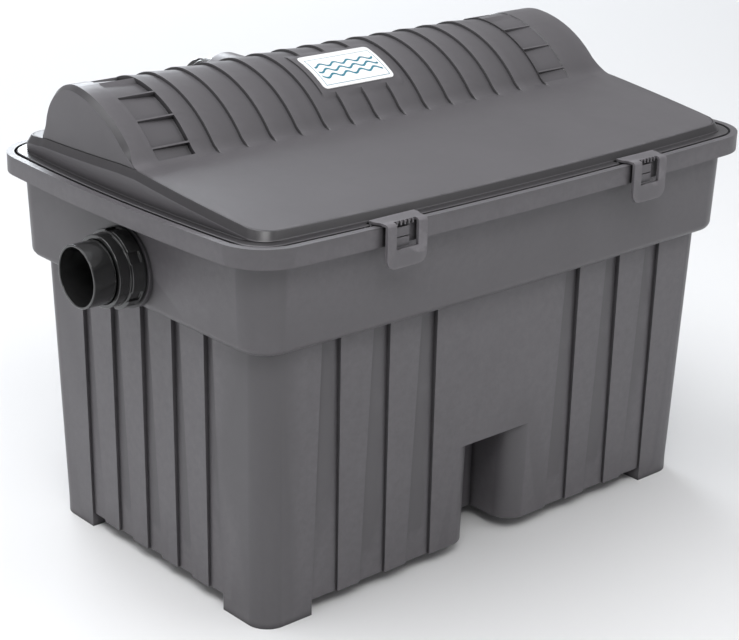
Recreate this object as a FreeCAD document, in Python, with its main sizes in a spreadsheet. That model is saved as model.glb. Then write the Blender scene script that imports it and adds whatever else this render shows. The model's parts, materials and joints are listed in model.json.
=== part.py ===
import FreeCAD, Part
import math
import os

import Sketcher

# Box-shaped pond filter: a ribbed tank, a hinged and clipped lid with a barrel-shaped hump,
# and the water path inside it. Frame: +X along the long side, away from the outlet, +Y to the
# hinges, +Z up. Positions along X are counted from the tank's middle plane, and frame_shift
# then moves every piece so that the frame's origin is under the middle of the whole object.

SIZES = {
    # rim of the tank
    "rim_length": 545, "rim_width": 348, "rim_corner": 41, "rim_bow_long": 8.5,
    "rim_bow_short": 8, "rim_top": 322.5, "skirt_height": 15.3, "skirt_wall": 2.6,
    "bead_width": 5.6, "rebate_depth": 4.5, "flange_wall": 3, "mouth_inset": 19,
    # upper wall, or band
    "band_inset_top": 11.4, "band_inset_low": 14.5, "band_low": 234.4, "band_bow_long": 4,
    "band_bow_short": 2, "band_corner_top": 29.5, "band_corner_low": 26,
    "band_edge_radius": 7, "wall": 4,
    # ribbed body below the band
    "body_inset_top": 26, "body_inset_low": 31.8, "body_low": 12, "body_corner": 19,
    "body_bow": 0.8, "rib_depth_top": 4.2, "rib_depth_low": 2.5, "floor_wall": 4,
    "body_lap": 6, "foot_long": 193, "foot_short": 92,
    # sunken strips between the ribs, given at the foot of the wall and at its top
    "rib_inner": 105.9, "rib_outer": 155.4, "rib_half_low": 11.25, "rib_half_top": 16.5,
    "panel_half_low": 68, "panel_half_top": 73, "pillar_top": 190, "end_rib_pitch": 41.4,
    "end_rib_half_low": 10.5, "end_rib_half_top": 15.5, "end_pillar_top": 88,
    # inside of the tank
    "inside_corner": 12, "chamber_corner_low": 22, "chamber_corner_top": 24,
    "cheek_wall": 12, "cheek_back": 120,
    # recess in the middle of the front
    "recess_half": 22, "recess_back": 98, "recess_top": 100.8, "recess_radius": 20,
    # lid
    "lip_inset": 9, "lip_low": 319.5, "lid_inset": 16.5, "lid_lean": 4.5, "lid_corner": 20,
    "lid_wall": 3, "lid_top": 395, "deck_front": 4.6, "deck_slope": 0.1089,
    "deck_back": 15.5, "deck_back_fall": 0.1, "hump_y": 80, "hump_z": -41.8,
    "hump_radius": 110, "hump_tilt": 0.1, "hump_back_radius": 50, "hump_fillet": 22,
    "gasket_inset_out": 14.2, "gasket_inset_in": 18.6, "gasket_low": 318.3,
    # hinges at the back
    "hinge_x": 150, "hinge_y": 182.2, "hinge_z": 328, "knuckle_radius": 4,
    "hinge_pin_radius": 2, "pin_clearance": 0.04, "lid_knuckle_half": 12.5,
    "tank_knuckle_in": 13, "tank_knuckle_out": 24, "stand_front": 176.4, "arm_wall": 4,
    "arm_start": 160,
    # clips at the front
    "clip_left_x": -142, "clip_right_x": 125, "clip_pin_y": -169, "clip_pin_z": 321,
    "clip_pin_radius": 1.1, "clip_pin_length": 56, "clip_barrel_radius": 2,
    "clip_root_half": 22, "clip_half": 19.5, "clip_top": 325.2, "clip_plate": 2.2,
    "clip_front": -186.2, "clip_wall": 3, "clip_low": 290.5, "clip_corner": 8,
    "window_half": 10.7, "window_low": 305, "window_back": -181.5, "tooth_width": 1.3,
    "tooth_pitch": 3.9, "tooth_count": 5, "pocket_half": 22.6, "pocket_back": -164.6,
    "catch_front": -182.8, "catch_back": -178, "catch_low": 305.6, "catch_top": 320.5,
    "catch_left": 13.2, "catch_width": 17.5, "groove_low": 312.6, "groove_high": 313.4,
    "groove_depth": 1.2,
    # outlet in the left end
    "outlet_z": 266, "outlet_end": 307, "pipe_radius": 25, "pipe_bore": 23,
    "socket_radius": 26.6, "socket_bore": 22, "socket_end": 276, "pad_radius": 33.5,
    "pad_face": 264, "pad_depth": 6, "socket_depth": 18, "seal_wall": 2, "neck_radius": 24.4,
    "pipe_flange_radius": 26.4, "pipe_flange": 3, "union_gap": 0.4,
    "nut_start": 264.6, "nut_step": 277, "nut_end": 287, "nut_radius": 31.5,
    "nut_collar": 28.7, "nut_bore": 26.9, "nut_lip_bore": 25.3, "nut_lug_count": 6,
    "nut_lug_depth": 1.6, "nut_lug_width": 9,
    # inlet in the back of the hump
    "inlet_x": -70, "inlet_z": 353.5, "boss_radius": 28.5, "boss_start": 90, "boss_end": 130,
    "trough_radius": 24, "trough_wall": 3, "spout_radius": 18.5, "spout_start": 120,
    "spout_end": 138, "branch_radius": 14, "branch_bore": 12,
    "branch_end": 136, "tail_flange_radius": 18.2, "tail_radius": 15, "tail_barb": 16.2,
    "tail_end": 168, "inlet_nut_start": 131, "inlet_nut_end": 147, "inlet_nut_radius": 22,
    "inlet_nut_bore": 18.8, "inlet_nut_lip": 16.6, "inlet_seal_in": 12.5,
    # spray bar under the hump
    "bar_y": 78, "bar_radius": 15, "bar_bore": 12.6, "bar_left": -100, "bar_right": 222,
    "bar_hole_radius": 4, "bar_hole_count": 11, "bar_hole_pitch": 26, "cap_wall": 2.5,
    "cap_depth": 12, "bracket_left_x": 10, "bracket_right_x": 180, "bracket_ring": 18.3,
    "bracket_width": 16, "bracket_top": 372, "bracket_flange": 3.2, "bracket_half": 26,
    "screw_reach": 22.5, "screw_radius": 1.6, "screw_head": 3.2, "screw_head_wall": 2,
    "screw_length": 10, "screw_hole": 8.5,
    # inside the tank
    "divider_x": -123, "divider_wall": 4, "divider_half": 133.5, "divider_top": 230,
    "divider_window": 36, "divider_window_height": 52, "rail_depth": 9, "rail_wall": 3,
    "rail_gap": 0.5, "rail_back": 143, "rail_low": 14,
    "grid_level": 108, "grid_wall": 5, "grid_half": 131, "grid_slot": 8, "grid_pitch": 15,
    "foot_radius": 8, "foot_inset": 18, "foot_in_right": 40, "foot_in_left": 20,
    "right_low_x": -115, "right_high_x": 226, "left_low_x": -230, "left_high_x": -131,
    "fine_height": 28, "medium_height": 42, "coarse_height": 46,
    "foam_gap": 0.6, "foam_inset": 1, "ball_radius": 15, "ball_gap": 1,
    # drain in the right end
    "drain_z": 42, "drain_hole": 11, "drain_pad_radius": 19, "drain_inner": 230,
    "drain_outer": 246, "drain_radius": 10.8, "drain_bore": 8, "drain_flange": 17,
    "drain_end": 268, "drain_nut_radius": 17, "drain_nut_wall": 7, "drain_cap_radius": 15.5,
    "drain_cap_bore": 11.4, "drain_cap_start": 255.5, "drain_cap_end": 272.5,
    "drain_cap_ribs": 12,
    # blank label on the hump
    "label_left": -52.7, "label_right": 24.2, "label_low_y": 14.7, "label_high_y": 53.8,
    "label_wall": 0.8,
    "frame_shift": 13.25,
}

DOC = FreeCAD.newDocument("pond_filter")
SHEET = DOC.addObject("Spreadsheet::Sheet", "sizes")
for row, (alias, number) in enumerate(SIZES.items(), start=1):
    SHEET.set(f"A{row}", alias)
    SHEET.set(f"B{row}", str(number))
    SHEET.setAlias(f"B{row}", alias)
DOC.recompute()

X_AXIS = FreeCAD.Vector(1, 0, 0)
Y_AXIS = FreeCAD.Vector(0, 1, 0)
Z_AXIS = FreeCAD.Vector(0, 0, 1)
PARTS = []


def size(alias):
    """Value of one cell of the sheet."""
    return float(SHEET.get(alias))


def bind(thing, **fields):
    """Bind properties, with a dot written as two underscores, to expressions on the sheet."""
    for field, text in fields.items():
        thing.setExpression(field.replace("__", "."), in_sheet(text))


def in_sheet(text):
    """Write the aliases of an expression as references to the sheet."""
    words = text.replace("(", " ( ").replace(")", " ) ").split()
    return " ".join(f"sizes.{word}" if word in SIZES else word for word in words)


BEYOND = 30     # how far a cutting tool reaches past the solid it cuts
WIDE = 300      # half width of a tool that spans the whole tank


# ---- helpers for sub-parts whose shape is computed ----

def vector(x, y, z):
    return FreeCAD.Vector(x, y, z)


def box(x0, x1, y0, y1, z0, z1):
    return Part.makeBox(x1 - x0, y1 - y0, z1 - z0, vector(x0, y0, z0))


def rod(radius, start, direction, length):
    return Part.makeCylinder(radius, length, start, direction)


def bowed_outline(inset, corner, bow_long, bow_short, z):
    """Rounded rectangle whose four sides bow outward, inset from the rim's base rectangle."""
    half_x = size("rim_length") / 2 - inset
    half_y = size("rim_width") / 2 - inset
    long_radius = (half_x ** 2 + bow_long ** 2) / (2 * bow_long)
    short_radius = (half_y ** 2 + bow_short ** 2) / (2 * bow_short)
    long_centre = vector(0, half_y + bow_long - long_radius, z)
    short_centre = vector(half_x + bow_short - short_radius, 0, z)
    # the corner arc touches both bowed sides from inside
    corner_x, corner_y = half_x - corner, half_y - corner
    for _ in range(40):
        corner_y = long_centre.y + math.sqrt((long_radius - corner) ** 2 - corner_x ** 2)
        corner_x = short_centre.x + math.sqrt((short_radius - corner) ** 2 - corner_y ** 2)
    centre = vector(corner_x, corner_y, z)
    on_long = long_centre + (centre - long_centre).normalize() * long_radius
    on_short = short_centre + (centre - short_centre).normalize() * short_radius
    middle = centre + ((on_long + on_short) * 0.5 - centre).normalize() * corner

    def at(point, sign_x, sign_y):
        return vector(point.x * sign_x, point.y * sign_y, z)

    side = vector(half_x + bow_short, 0, z)
    end = vector(0, half_y + bow_long, z)
    stations = [at(on_short, 1, -1), side, at(on_short, 1, 1), at(middle, 1, 1),
                at(on_long, 1, 1), end, at(on_long, -1, 1), at(middle, -1, 1),
                at(on_short, -1, 1), side * -1 + vector(0, 0, 2 * z), at(on_short, -1, -1),
                at(middle, -1, -1), at(on_long, -1, -1), end * -1 + vector(0, 0, 2 * z),
                at(on_long, 1, -1), at(middle, 1, -1)]
    arcs = []
    for index in range(0, len(stations), 2):
        last = stations[(index + 2) % len(stations)]
        arcs.append(Part.Arc(stations[index], stations[index + 1], last).toShape())
    return Part.Wire(arcs)


def bowed_slab(inset, corner, bow_long, bow_short, z_low, z_high):
    face = Part.Face(bowed_outline(inset, corner, bow_long, bow_short, z_low))
    return face.extrude(vector(0, 0, z_high - z_low))


def bowed_taper(low, high, bow_long, bow_short):
    """Solid between two bowed outlines, each given as (inset, corner, z)."""
    wires = [bowed_outline(low[0], low[1], bow_long, bow_short, low[2]),
             bowed_outline(high[0], high[1], bow_long, bow_short, high[2])]
    return Part.makeLoft(wires, True, True)


def rim_slab(inset, z_low, z_high):
    """Slab parallel to the rim's edge."""
    return bowed_slab(inset, size("rim_corner") - inset, size("rim_bow_long"),
                      size("rim_bow_short"), z_low, z_high)


def computed(label, shape):
    """Store a computed solid as a sub-part, at the frame's shift."""
    piece = DOC.addObject("Part::Feature", label)
    piece.Label = label
    piece.Shape = shape.removeSplitter()
    piece.Placement = FreeCAD.Placement(vector(size("frame_shift"), 0, 0),
                                        FreeCAD.Rotation())
    PARTS.append(piece)
    return piece


# ---- helpers for PartDesign sub-parts ----

def new_body(label):
    body = DOC.addObject("PartDesign::Body", label)
    body.Label = label
    PARTS.append(body)
    return body


def origin_feature(body, role):
    return next(item for item in body.Origin.OriginFeatures if item.Role == role)


def new_sketch(body, name, offset="0", role="XY_Plane"):
    sketch = body.newObject("Sketcher::SketchObject", name)
    sketch.AttachmentSupport = [(origin_feature(body, role), "")]
    sketch.MapMode = "FlatFace"
    sketch.setExpression("AttachmentOffset.Base.z", in_sheet(offset))
    return sketch


def add_circle(sketch, radius, x="0", y="0"):
    """Circle whose radius and centre are expressions on the sheet."""
    index = sketch.addGeometry(Part.Circle(vector(1, 1, 0), Z_AXIS, 5), False)
    for kind, text in (("DistanceX", x), ("DistanceY", y)):
        place = sketch.addConstraint(Sketcher.Constraint(kind, -1, 1, index, 3, 1.0))
        sketch.setExpression(f"Constraints[{place}]", in_sheet(text))
    place = sketch.addConstraint(Sketcher.Constraint("Radius", index, 5.0))
    sketch.setExpression(f"Constraints[{place}]", in_sheet(radius))


def add_rectangle(sketch, left, right, low, high):
    """Upright rectangle whose four sides are expressions on the sheet."""
    corners = [vector(0, 0, 0), vector(10, 0, 0), vector(10, 10, 0), vector(0, 10, 0)]
    lines = [sketch.addGeometry(Part.LineSegment(corners[i], corners[(i + 1) % 4]), False)
             for i in range(4)]
    for i in range(4):
        sketch.addConstraint(Sketcher.Constraint("Coincident", lines[i], 2,
                                                 lines[(i + 1) % 4], 1))
        kind = "Horizontal" if i % 2 == 0 else "Vertical"
        sketch.addConstraint(Sketcher.Constraint(kind, lines[i]))
    for kind, line, text in (("DistanceX", 0, left), ("DistanceY", 0, low),
                             ("DistanceX", 2, right), ("DistanceY", 2, high)):
        place = sketch.addConstraint(
            Sketcher.Constraint(kind, -1, 1, lines[line], 1, 5.0))
        sketch.setExpression(f"Constraints[{place}]", in_sheet(text))


def add_pad(body, sketch, length):
    pad = body.newObject("PartDesign::Pad", f"{sketch.Name}_pad")
    pad.Profile = sketch
    pad.setExpression("Length", in_sheet(length))
    return pad


def add_pocket(body, sketch, length, midplane=False):
    pocket = body.newObject("PartDesign::Pocket", f"{sketch.Name}_pocket")
    pocket.Profile = sketch
    pocket.Midplane = midplane
    pocket.setExpression("Length", in_sheet(length))
    return pocket


def add_ring(body, name, outer, inner, start, length):
    """Pad a ring, or a disc when inner is None, along the body's own Z axis."""
    sketch = new_sketch(body, name, start)
    add_circle(sketch, outer)
    if inner:
        add_circle(sketch, inner)
    return add_pad(body, sketch, length)


def repeat_round(body, feature, count):
    pattern = body.newObject("PartDesign::PolarPattern", f"{feature.Name}_round")
    pattern.Originals = [feature]
    pattern.Axis = (origin_feature(body, "Z_Axis"), [""])
    pattern.Angle = 360
    pattern.setExpression("Occurrences", in_sheet(count))
    body.Tip = pattern
    return pattern


def repeat_along(body, feature, role, pitch, count):
    """Repeat a feature count times; a LinearPattern's Length is its whole span."""
    pattern = body.newObject("PartDesign::LinearPattern", f"{feature.Name}_row")
    pattern.Originals = [feature]
    pattern.Direction = (origin_feature(body, role), [""])
    pattern.setExpression("Length", in_sheet(f"{pitch} * ( {count} - 1 )"))
    pattern.setExpression("Occurrences", in_sheet(count))
    body.Tip = pattern
    return pattern


def set_at(thing, x="0", y="0", z="0", axis=None, angle=0):
    """Turn a thing about an axis through its own origin, then set it at expressions."""
    if axis is not None:
        thing.Placement = FreeCAD.Placement(vector(0, 0, 0), FreeCAD.Rotation(axis, angle))
    bind(thing, Placement__Base__x=x, Placement__Base__y=y, Placement__Base__z=z)


def add_group(label, pieces):
    """Sub-part made of separate equal pieces, placed as a whole."""
    group = DOC.addObject("Part::Compound", label)
    group.Label = label
    group.Links = pieces
    place(group)
    PARTS.append(group)


def place(piece, x="0", y="0", z="0", axis=None, angle=0):
    """Set a whole sub-part, counting X from the tank's middle plane."""
    set_at(piece, f"{x} + frame_shift", y, z, axis, angle)


# ---- tank ----

def strips_between(edges_low, edges_top):
    """Strips as (low, high) at the wall's foot and its top, from edges taken two by two."""
    return [(edges_low[i], edges_low[i + 1], edges_top[i], edges_top[i + 1])
            for i in range(0, len(edges_low), 2)]


def strips_long():
    """Sunken strips of a long side: plain panel, strip, rib, strip, rib, strip, pillar."""
    strips = []
    for side in (1, -1):
        edges = []
        for half, panel, pillar in (("rib_half_low", "panel_half_low", "foot_long"),
                                    ("rib_half_top", "panel_half_top", "pillar_top")):
            ribs = [size(rib) + sign * size(half)
                    for rib in ("rib_inner", "rib_outer") for sign in (-1, 1)]
            edges.append(sorted(side * x for x in [size(panel)] + ribs + [size(pillar)]))
        strips += strips_between(*edges)
    return strips


def strips_short():
    """Sunken strips of a short side, between two corner pillars and four ribs."""
    edges = []
    for half, pillar in (("end_rib_half_low", "foot_short"),
                         ("end_rib_half_top", "end_pillar_top")):
        ribs = [(i - 1.5) * size("end_rib_pitch") + sign * size(half)
                for i in range(4) for sign in (-1, 1)]
        edges.append([-size(pillar)] + ribs + [size(pillar)])
    return strips_between(*edges)


def strip_cutter(strip, half_low, half_high, along_x):
    """Tapered block that sinks one strip into a side; half_* are the wall faces' distances."""
    low_a, low_b, high_a, high_b = strip
    z_low, z_high = size("body_low") - 2, size("band_low") + size("body_lap")
    wires = []
    for a, b, half, depth, z in ((low_a, low_b, half_low, size("rib_depth_low"), z_low),
                                 (high_a, high_b, half_high, size("rib_depth_top"), z_high)):
        deep = half - depth
        corners = [(a, deep), (b, deep), (b, half + BEYOND), (a, half + BEYOND)]
        if along_x:
            points = [vector(u, v, z) for u, v in corners]
        else:
            points = [vector(v, u, z) for u, v in corners]
        wires.append(Part.makePolygon(points + [points[0]]))
    return Part.makeLoft(wires, True, True)


def sunken_strips():
    cutters = []
    half_turn = FreeCAD.Rotation(Z_AXIS, 180)
    spans = (("rim_width", strips_long(), True), ("rim_length", strips_short(), False))
    for span, strips, along_x in spans:
        half_low = size(span) / 2 - size("body_inset_low") + size("body_bow")
        half_high = size(span) / 2 - size("body_inset_top") + size("body_bow")
        for strip in strips:
            cutter = strip_cutter(strip, half_low, half_high, along_x)
            twin = cutter.copy()
            twin.Placement = FreeCAD.Placement(vector(0, 0, 0), half_turn)
            cutters += [cutter, twin]
    return cutters


def recess_cutter():
    """Hand recess in the middle of the front, open below, with rounded outer edges."""
    half, back, radius = size("recess_half"), size("recess_back"), size("recess_radius")
    lean = (size("body_inset_low") - size("body_inset_top")) \
        / (size("band_low") - size("body_low"))
    wires = []
    for z in (size("body_low") - 2, size("recess_top")):
        face = size("rim_width") / 2 - size("body_inset_low") + size("body_bow")
        face += lean * (z - size("body_low"))
        bend = radius * (1 - math.sqrt(0.5))
        right = [vector(half, -back, z), vector(half, radius - face, z),
                 vector(half + bend, bend - face, z), vector(half + radius, -face, z),
                 vector(half + radius, -face - BEYOND, z)]
        left = [vector(-point.x, point.y, z) for point in right]
        wires.append(Part.Wire([
            Part.makeLine(left[0], right[0]), Part.makeLine(right[0], right[1]),
            Part.Arc(right[1], right[2], right[3]).toShape(),
            Part.makeLine(right[3], right[4]), Part.makeLine(right[4], left[4]),
            Part.makeLine(left[4], left[3]),
            Part.Arc(left[3], left[2], left[1]).toShape(),
            Part.makeLine(left[1], left[0])]))
    return Part.makeLoft(wires, True, True)


def tank_cavity():
    """Inside of the tank: lower chamber, wider upper chamber, mouth, less the recess's shell."""
    inside, floor = size("wall"), size("body_low") + size("floor_wall")
    ledge = size("band_low") + inside
    low_inset = size("body_inset_low") + size("rib_depth_low") + inside
    high_inset = size("body_inset_top") + size("rib_depth_top") + inside
    corner = size("inside_corner")
    flange_low = size("rim_top") - size("rebate_depth") - size("flange_wall")
    lower = bowed_taper((low_inset, corner, floor), (high_inset, corner, ledge),
                        size("body_bow"), size("body_bow"))
    upper = bowed_taper((size("band_inset_low") + inside, size("chamber_corner_low"),
                         ledge - 0.5),
                        (size("band_inset_top") + inside, size("chamber_corner_top"),
                         flange_low),
                        size("band_bow_long"), size("band_bow_short"))
    mouth = rim_slab(size("mouth_inset"), flange_low - 1, size("rim_top") + 1)
    half, back, top = size("recess_half"), size("recess_back"), size("recess_top")
    shell = box(-half - inside, half + inside, -WIDE, inside - back, 0, top + inside)
    cheek = half + size("cheek_wall")
    shell = shell.fuse(box(-cheek, cheek, -WIDE, -size("cheek_back"), 0, top + inside))
    return lower.fuse([upper, mouth]).cut(shell)


def hinge_knuckles(ranges, hole):
    """Barrels on the hinge axis over the given X ranges, with a hole for the pin."""
    y, z = size("hinge_y"), size("hinge_z")
    pieces = [rod(size("knuckle_radius"), vector(x0, y, z), X_AXIS, x1 - x0)
              for x0, x1 in ranges]
    holes = [rod(hole, vector(x0 - 1, y, z), X_AXIS, x1 - x0 + 2) for x0, x1 in ranges]
    return pieces, holes


def tank_knuckle_ranges():
    near, far = size("tank_knuckle_in"), size("tank_knuckle_out")
    return [(side * size("hinge_x") + a, side * size("hinge_x") + b)
            for side in (-1, 1) for a, b in ((-far, -near), (near, far))]


def build_tank():
    top = size("rim_top")
    skirt_low = top - size("skirt_height")
    flange_low = top - size("rebate_depth") - size("flange_wall")
    rim = rim_slab(0, skirt_low, top)
    channel = rim_slab(size("skirt_wall"), skirt_low - 1, flange_low)
    band = bowed_taper((size("band_inset_low"), size("band_corner_low"), size("band_low")),
                       (size("band_inset_top"), size("band_corner_top"), flange_low + 1),
                       size("band_bow_long"), size("band_bow_short"))
    lowest = [edge for edge in band.Edges if edge.BoundBox.ZMax < size("band_low") + 1]
    band = band.makeFillet(size("band_edge_radius"), lowest)
    body = bowed_taper((size("body_inset_low"), size("body_corner"), size("body_low")),
                       (size("body_inset_top"), size("body_corner"),
                        size("band_low") + size("body_lap")),
                       size("body_bow"), size("body_bow"))
    body = body.cut(sunken_strips())
    foot_slab = bowed_slab(size("body_inset_low"), size("body_corner"), size("body_bow"),
                           size("body_bow"), 0, size("body_low"))
    corners = [box(*sorted((sx * size("foot_long"), sx * WIDE)),
                   *sorted((sy * size("foot_short"), sy * WIDE)), 0, size("body_low") + 1)
               for sx in (-1, 1) for sy in (-1, 1)]
    feet = [foot_slab.common(corner) for corner in corners]
    shell = rim.cut(channel).fuse([band, body] + feet)
    shell = shell.cut([recess_cutter(), tank_cavity(),
                       rim_slab(size("bead_width"), top - size("rebate_depth"), top + 1)])

    outlet = vector(0, 0, size("outlet_z"))
    pad = rod(size("pad_radius"), outlet - X_AXIS * size("pad_face"), X_AXIS,
              size("pad_depth"))
    socket = rod(size("socket_radius"), outlet - X_AXIS * size("socket_end"), X_AXIS,
                 size("socket_depth"))
    bore = rod(size("socket_bore"), outlet - X_AXIS * (size("socket_end") + 1), X_AXIS,
               size("socket_depth") + BEYOND)

    drain = vector(size("drain_inner"), 0, size("drain_z"))
    drain_pad = rod(size("drain_pad_radius"), drain, X_AXIS,
                    size("drain_outer") - size("drain_inner"))
    drain_hole = rod(size("drain_hole"), drain - X_AXIS, X_AXIS, BEYOND)

    catches = []
    for centre in (size("clip_left_x"), size("clip_right_x")):
        left = centre - size("catch_left")
        catches.append(box(left, left + size("catch_width"), size("catch_front"),
                           size("catch_back"), size("catch_low"), size("catch_top")))
    groove = box(-WIDE, WIDE, size("catch_front") - 1,
                 size("catch_front") + size("groove_depth"), size("groove_low"),
                 size("groove_high"))

    barrels, pin_holes = hinge_knuckles(tank_knuckle_ranges(),
                                        size("hinge_pin_radius") + size("pin_clearance") / 2)
    stands = [box(x0, x1, size("stand_front"), size("hinge_y") + size("knuckle_radius"),
                  top - size("rebate_depth"), size("hinge_z"))
              for x0, x1 in tank_knuckle_ranges()]

    rails = []
    near = size("divider_wall") / 2 + size("rail_gap")
    for side in (-1, 1):
        for gap in (-near - size("rail_wall"), near):
            x0 = size("divider_x") + gap
            y0 = size("divider_half") - size("rail_depth")
            rails.append(box(x0, x0 + size("rail_wall"),
                             *sorted((side * y0, side * size("rail_back"))),
                             size("rail_low"), size("divider_top")))
    rails = [rail.common(body.fuse(band)) for rail in rails]

    shell = shell.fuse([pad, socket, drain_pad] + rails + stands + barrels
                       + [catch.cut(groove) for catch in catches])
    shell = shell.cut([bore, drain_hole] + pin_holes)
    return computed("tank", shell)


# ---- lid ----

def lid_profile(offset):
    """Side view of the lid's skin, sunk by offset: deck, hump of two arcs, rear deck."""
    top = size("rim_top")
    slope = size("deck_slope")
    direction = vector(0, 1, slope).normalize()
    normal = vector(0, -direction.z, direction.y)
    deck = vector(0, -size("rim_width") / 2, top + size("deck_front")) - normal * offset
    fillet = size("hump_fillet") + offset
    front_radius = size("hump_radius") - offset
    back_radius = size("hump_back_radius") - offset
    front = vector(0, size("hump_y"), top + size("hump_z"))
    tilt = vector(0, -size("hump_tilt"), math.sqrt(1 - size("hump_tilt") ** 2))
    back = front + tilt * (size("hump_radius") - size("hump_back_radius"))
    # fillet centre: one radius above the deck, and tangent to the front arc from outside
    start = deck + normal * fillet - front
    along = start.dot(direction)
    reach = front_radius + fillet
    travel = -along - math.sqrt(along ** 2 - start.dot(start) + reach ** 2)
    bend = deck + normal * fillet + direction * travel
    to_deck = bend - normal * fillet
    to_hump = bend + (front - bend).normalize() * fillet
    bend_middle = bend + ((to_deck + to_hump) * 0.5 - bend).normalize() * fillet
    crest = front + tilt * front_radius
    front_middle = front + ((to_hump + crest) * 0.5 - front).normalize() * front_radius
    foot_z = top + size("deck_back") - offset
    foot_y = back.y + math.sqrt(back_radius ** 2 - (foot_z - back.z) ** 2)
    foot = vector(0, foot_y, foot_z)
    back_middle = back + ((crest + foot) * 0.5 - back).normalize() * back_radius
    far = size("rim_width") / 2 + BEYOND
    rear = vector(0, far, foot_z - size("deck_back_fall") * (far - foot_y))
    ahead = to_deck - direction * ((to_deck.y + far) / direction.y)
    low = size("lip_low") - 2
    edges = [Part.makeLine(ahead, to_deck), Part.Arc(to_deck, bend_middle, to_hump).toShape(),
             Part.Arc(to_hump, front_middle, crest).toShape(),
             Part.Arc(crest, back_middle, foot).toShape(), Part.makeLine(foot, rear),
             Part.makeLine(rear, vector(0, far, low)),
             Part.makeLine(vector(0, far, low), vector(0, -far, low)),
             Part.makeLine(vector(0, -far, low), ahead)]
    return Part.Wire(edges)


def lid_block(offset, z_low):
    """Lid's volume sunk by offset on the top and on the leaning sides."""
    half = WIDE
    face = Part.Face(lid_profile(offset))
    face.translate(vector(-half, 0, 0))
    prism = face.extrude(vector(2 * half, 0, 0))
    low = (size("lid_inset") + offset, size("lid_corner") - offset / 2, z_low)
    high = (size("lid_inset") + size("lid_lean") + offset, size("lid_corner") - offset / 2,
            size("lid_top"))
    sides = bowed_taper(low, high, size("rim_bow_long"), size("rim_bow_short"))
    return prism.common(sides)


def build_lid():
    top, low = size("rim_top"), size("lip_low")
    outer = lid_block(0, low)
    inner = lid_block(size("lid_wall"), low - 1)
    lip = rim_slab(size("lip_inset"), low, top)

    inlet = vector(size("inlet_x"), 0, size("inlet_z"))
    wall = size("lid_wall")
    floor = top + 2
    start, end = size("boss_start"), size("boss_end")
    boss = rod(size("boss_radius"), inlet + Y_AXIS * start, Y_AXIS, end - start)
    boss = boss.cut(box(-WIDE, WIDE, start - 1, end + 1, 0, floor))
    room = rod(size("boss_radius") - wall, inlet + Y_AXIS * (start - 10), Y_AXIS,
               end - wall - start + 10)
    room = room.cut(box(-WIDE, WIDE, start - 11, end + 1, 0, floor + wall))
    # round trough in the rear deck, so that the union nut can turn
    trough = rod(size("trough_radius"), inlet + Y_AXIS * end, Y_AXIS, 2 * BEYOND)
    trough_wall = rod(size("trough_radius") + size("trough_wall"), inlet + Y_AXIS * end,
                      Y_AXIS, 2 * BEYOND).common(outer)
    spout = rod(size("spout_radius"), inlet + Y_AXIS * size("spout_start"), Y_AXIS,
                size("spout_end") - size("spout_start"))
    spout = spout.cut(box(-WIDE, WIDE, size("spout_start") - 1, end - wall, 0,
                          size("lid_top")))
    pipe_way = rod(size("branch_radius") + 0.1, inlet + Y_AXIS * start, Y_AXIS, 2 * BEYOND)

    seats, pilots = [], []
    for centre in (size("bracket_left_x"), size("bracket_right_x")):
        seats.append(box(centre - size("bracket_width") / 2, centre + size("bracket_width") / 2,
                         size("bar_y") - size("bracket_half"),
                         size("bar_y") + size("bracket_half"), size("bracket_top") + 0.2,
                         size("lid_top")).common(outer))
        for side in (-1, 1):
            pilots.append(rod(size("screw_radius") + 0.05,
                              vector(centre, size("bar_y") + side * size("screw_reach"),
                                     size("bracket_top") - 1), Z_AXIS,
                              size("screw_hole")))

    pockets, pin_holes = [], []
    for centre in (size("clip_left_x"), size("clip_right_x")):
        pockets.append(box(centre - size("pocket_half"), centre + size("pocket_half"),
                           size("pocket_back") - BEYOND, size("pocket_back"), low - 1,
                           top + 0.01))
        start = vector(centre - size("clip_pin_length") / 2 - 0.2, size("clip_pin_y"),
                       size("clip_pin_z"))
        pin_holes.append(rod(size("clip_pin_radius") + size("pin_clearance") / 2, start,
                             X_AXIS, size("clip_pin_length") + 0.4))

    half = size("lid_knuckle_half")
    ranges = [(side * size("hinge_x") - half, side * size("hinge_x") + half)
              for side in (-1, 1)]
    barrels, hinge_holes = hinge_knuckles(ranges,
                                          size("hinge_pin_radius") + size("pin_clearance"))
    arm = size("arm_wall")
    arms = [box(x0, x1, size("arm_start"), size("hinge_y"), size("hinge_z") - arm / 2,
                size("hinge_z") + arm / 2) for x0, x1 in ranges]

    lid = outer.fuse([lip, boss] + arms)
    lid = lid.cut([inner, room]).fuse(trough_wall).cut(trough)
    lid = lid.fuse([spout] + seats + barrels)
    lid = lid.cut([pipe_way] + pilots + pockets + pin_holes + hinge_holes)
    return computed("lid", lid)


def build_lid_gasket():
    low, high = size("gasket_low"), size("lip_low")
    ring = rim_slab(size("gasket_inset_out"), low, high)
    return computed("lid_gasket", ring.cut(rim_slab(size("gasket_inset_in"), low - 1,
                                                    high + 1)))


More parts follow.
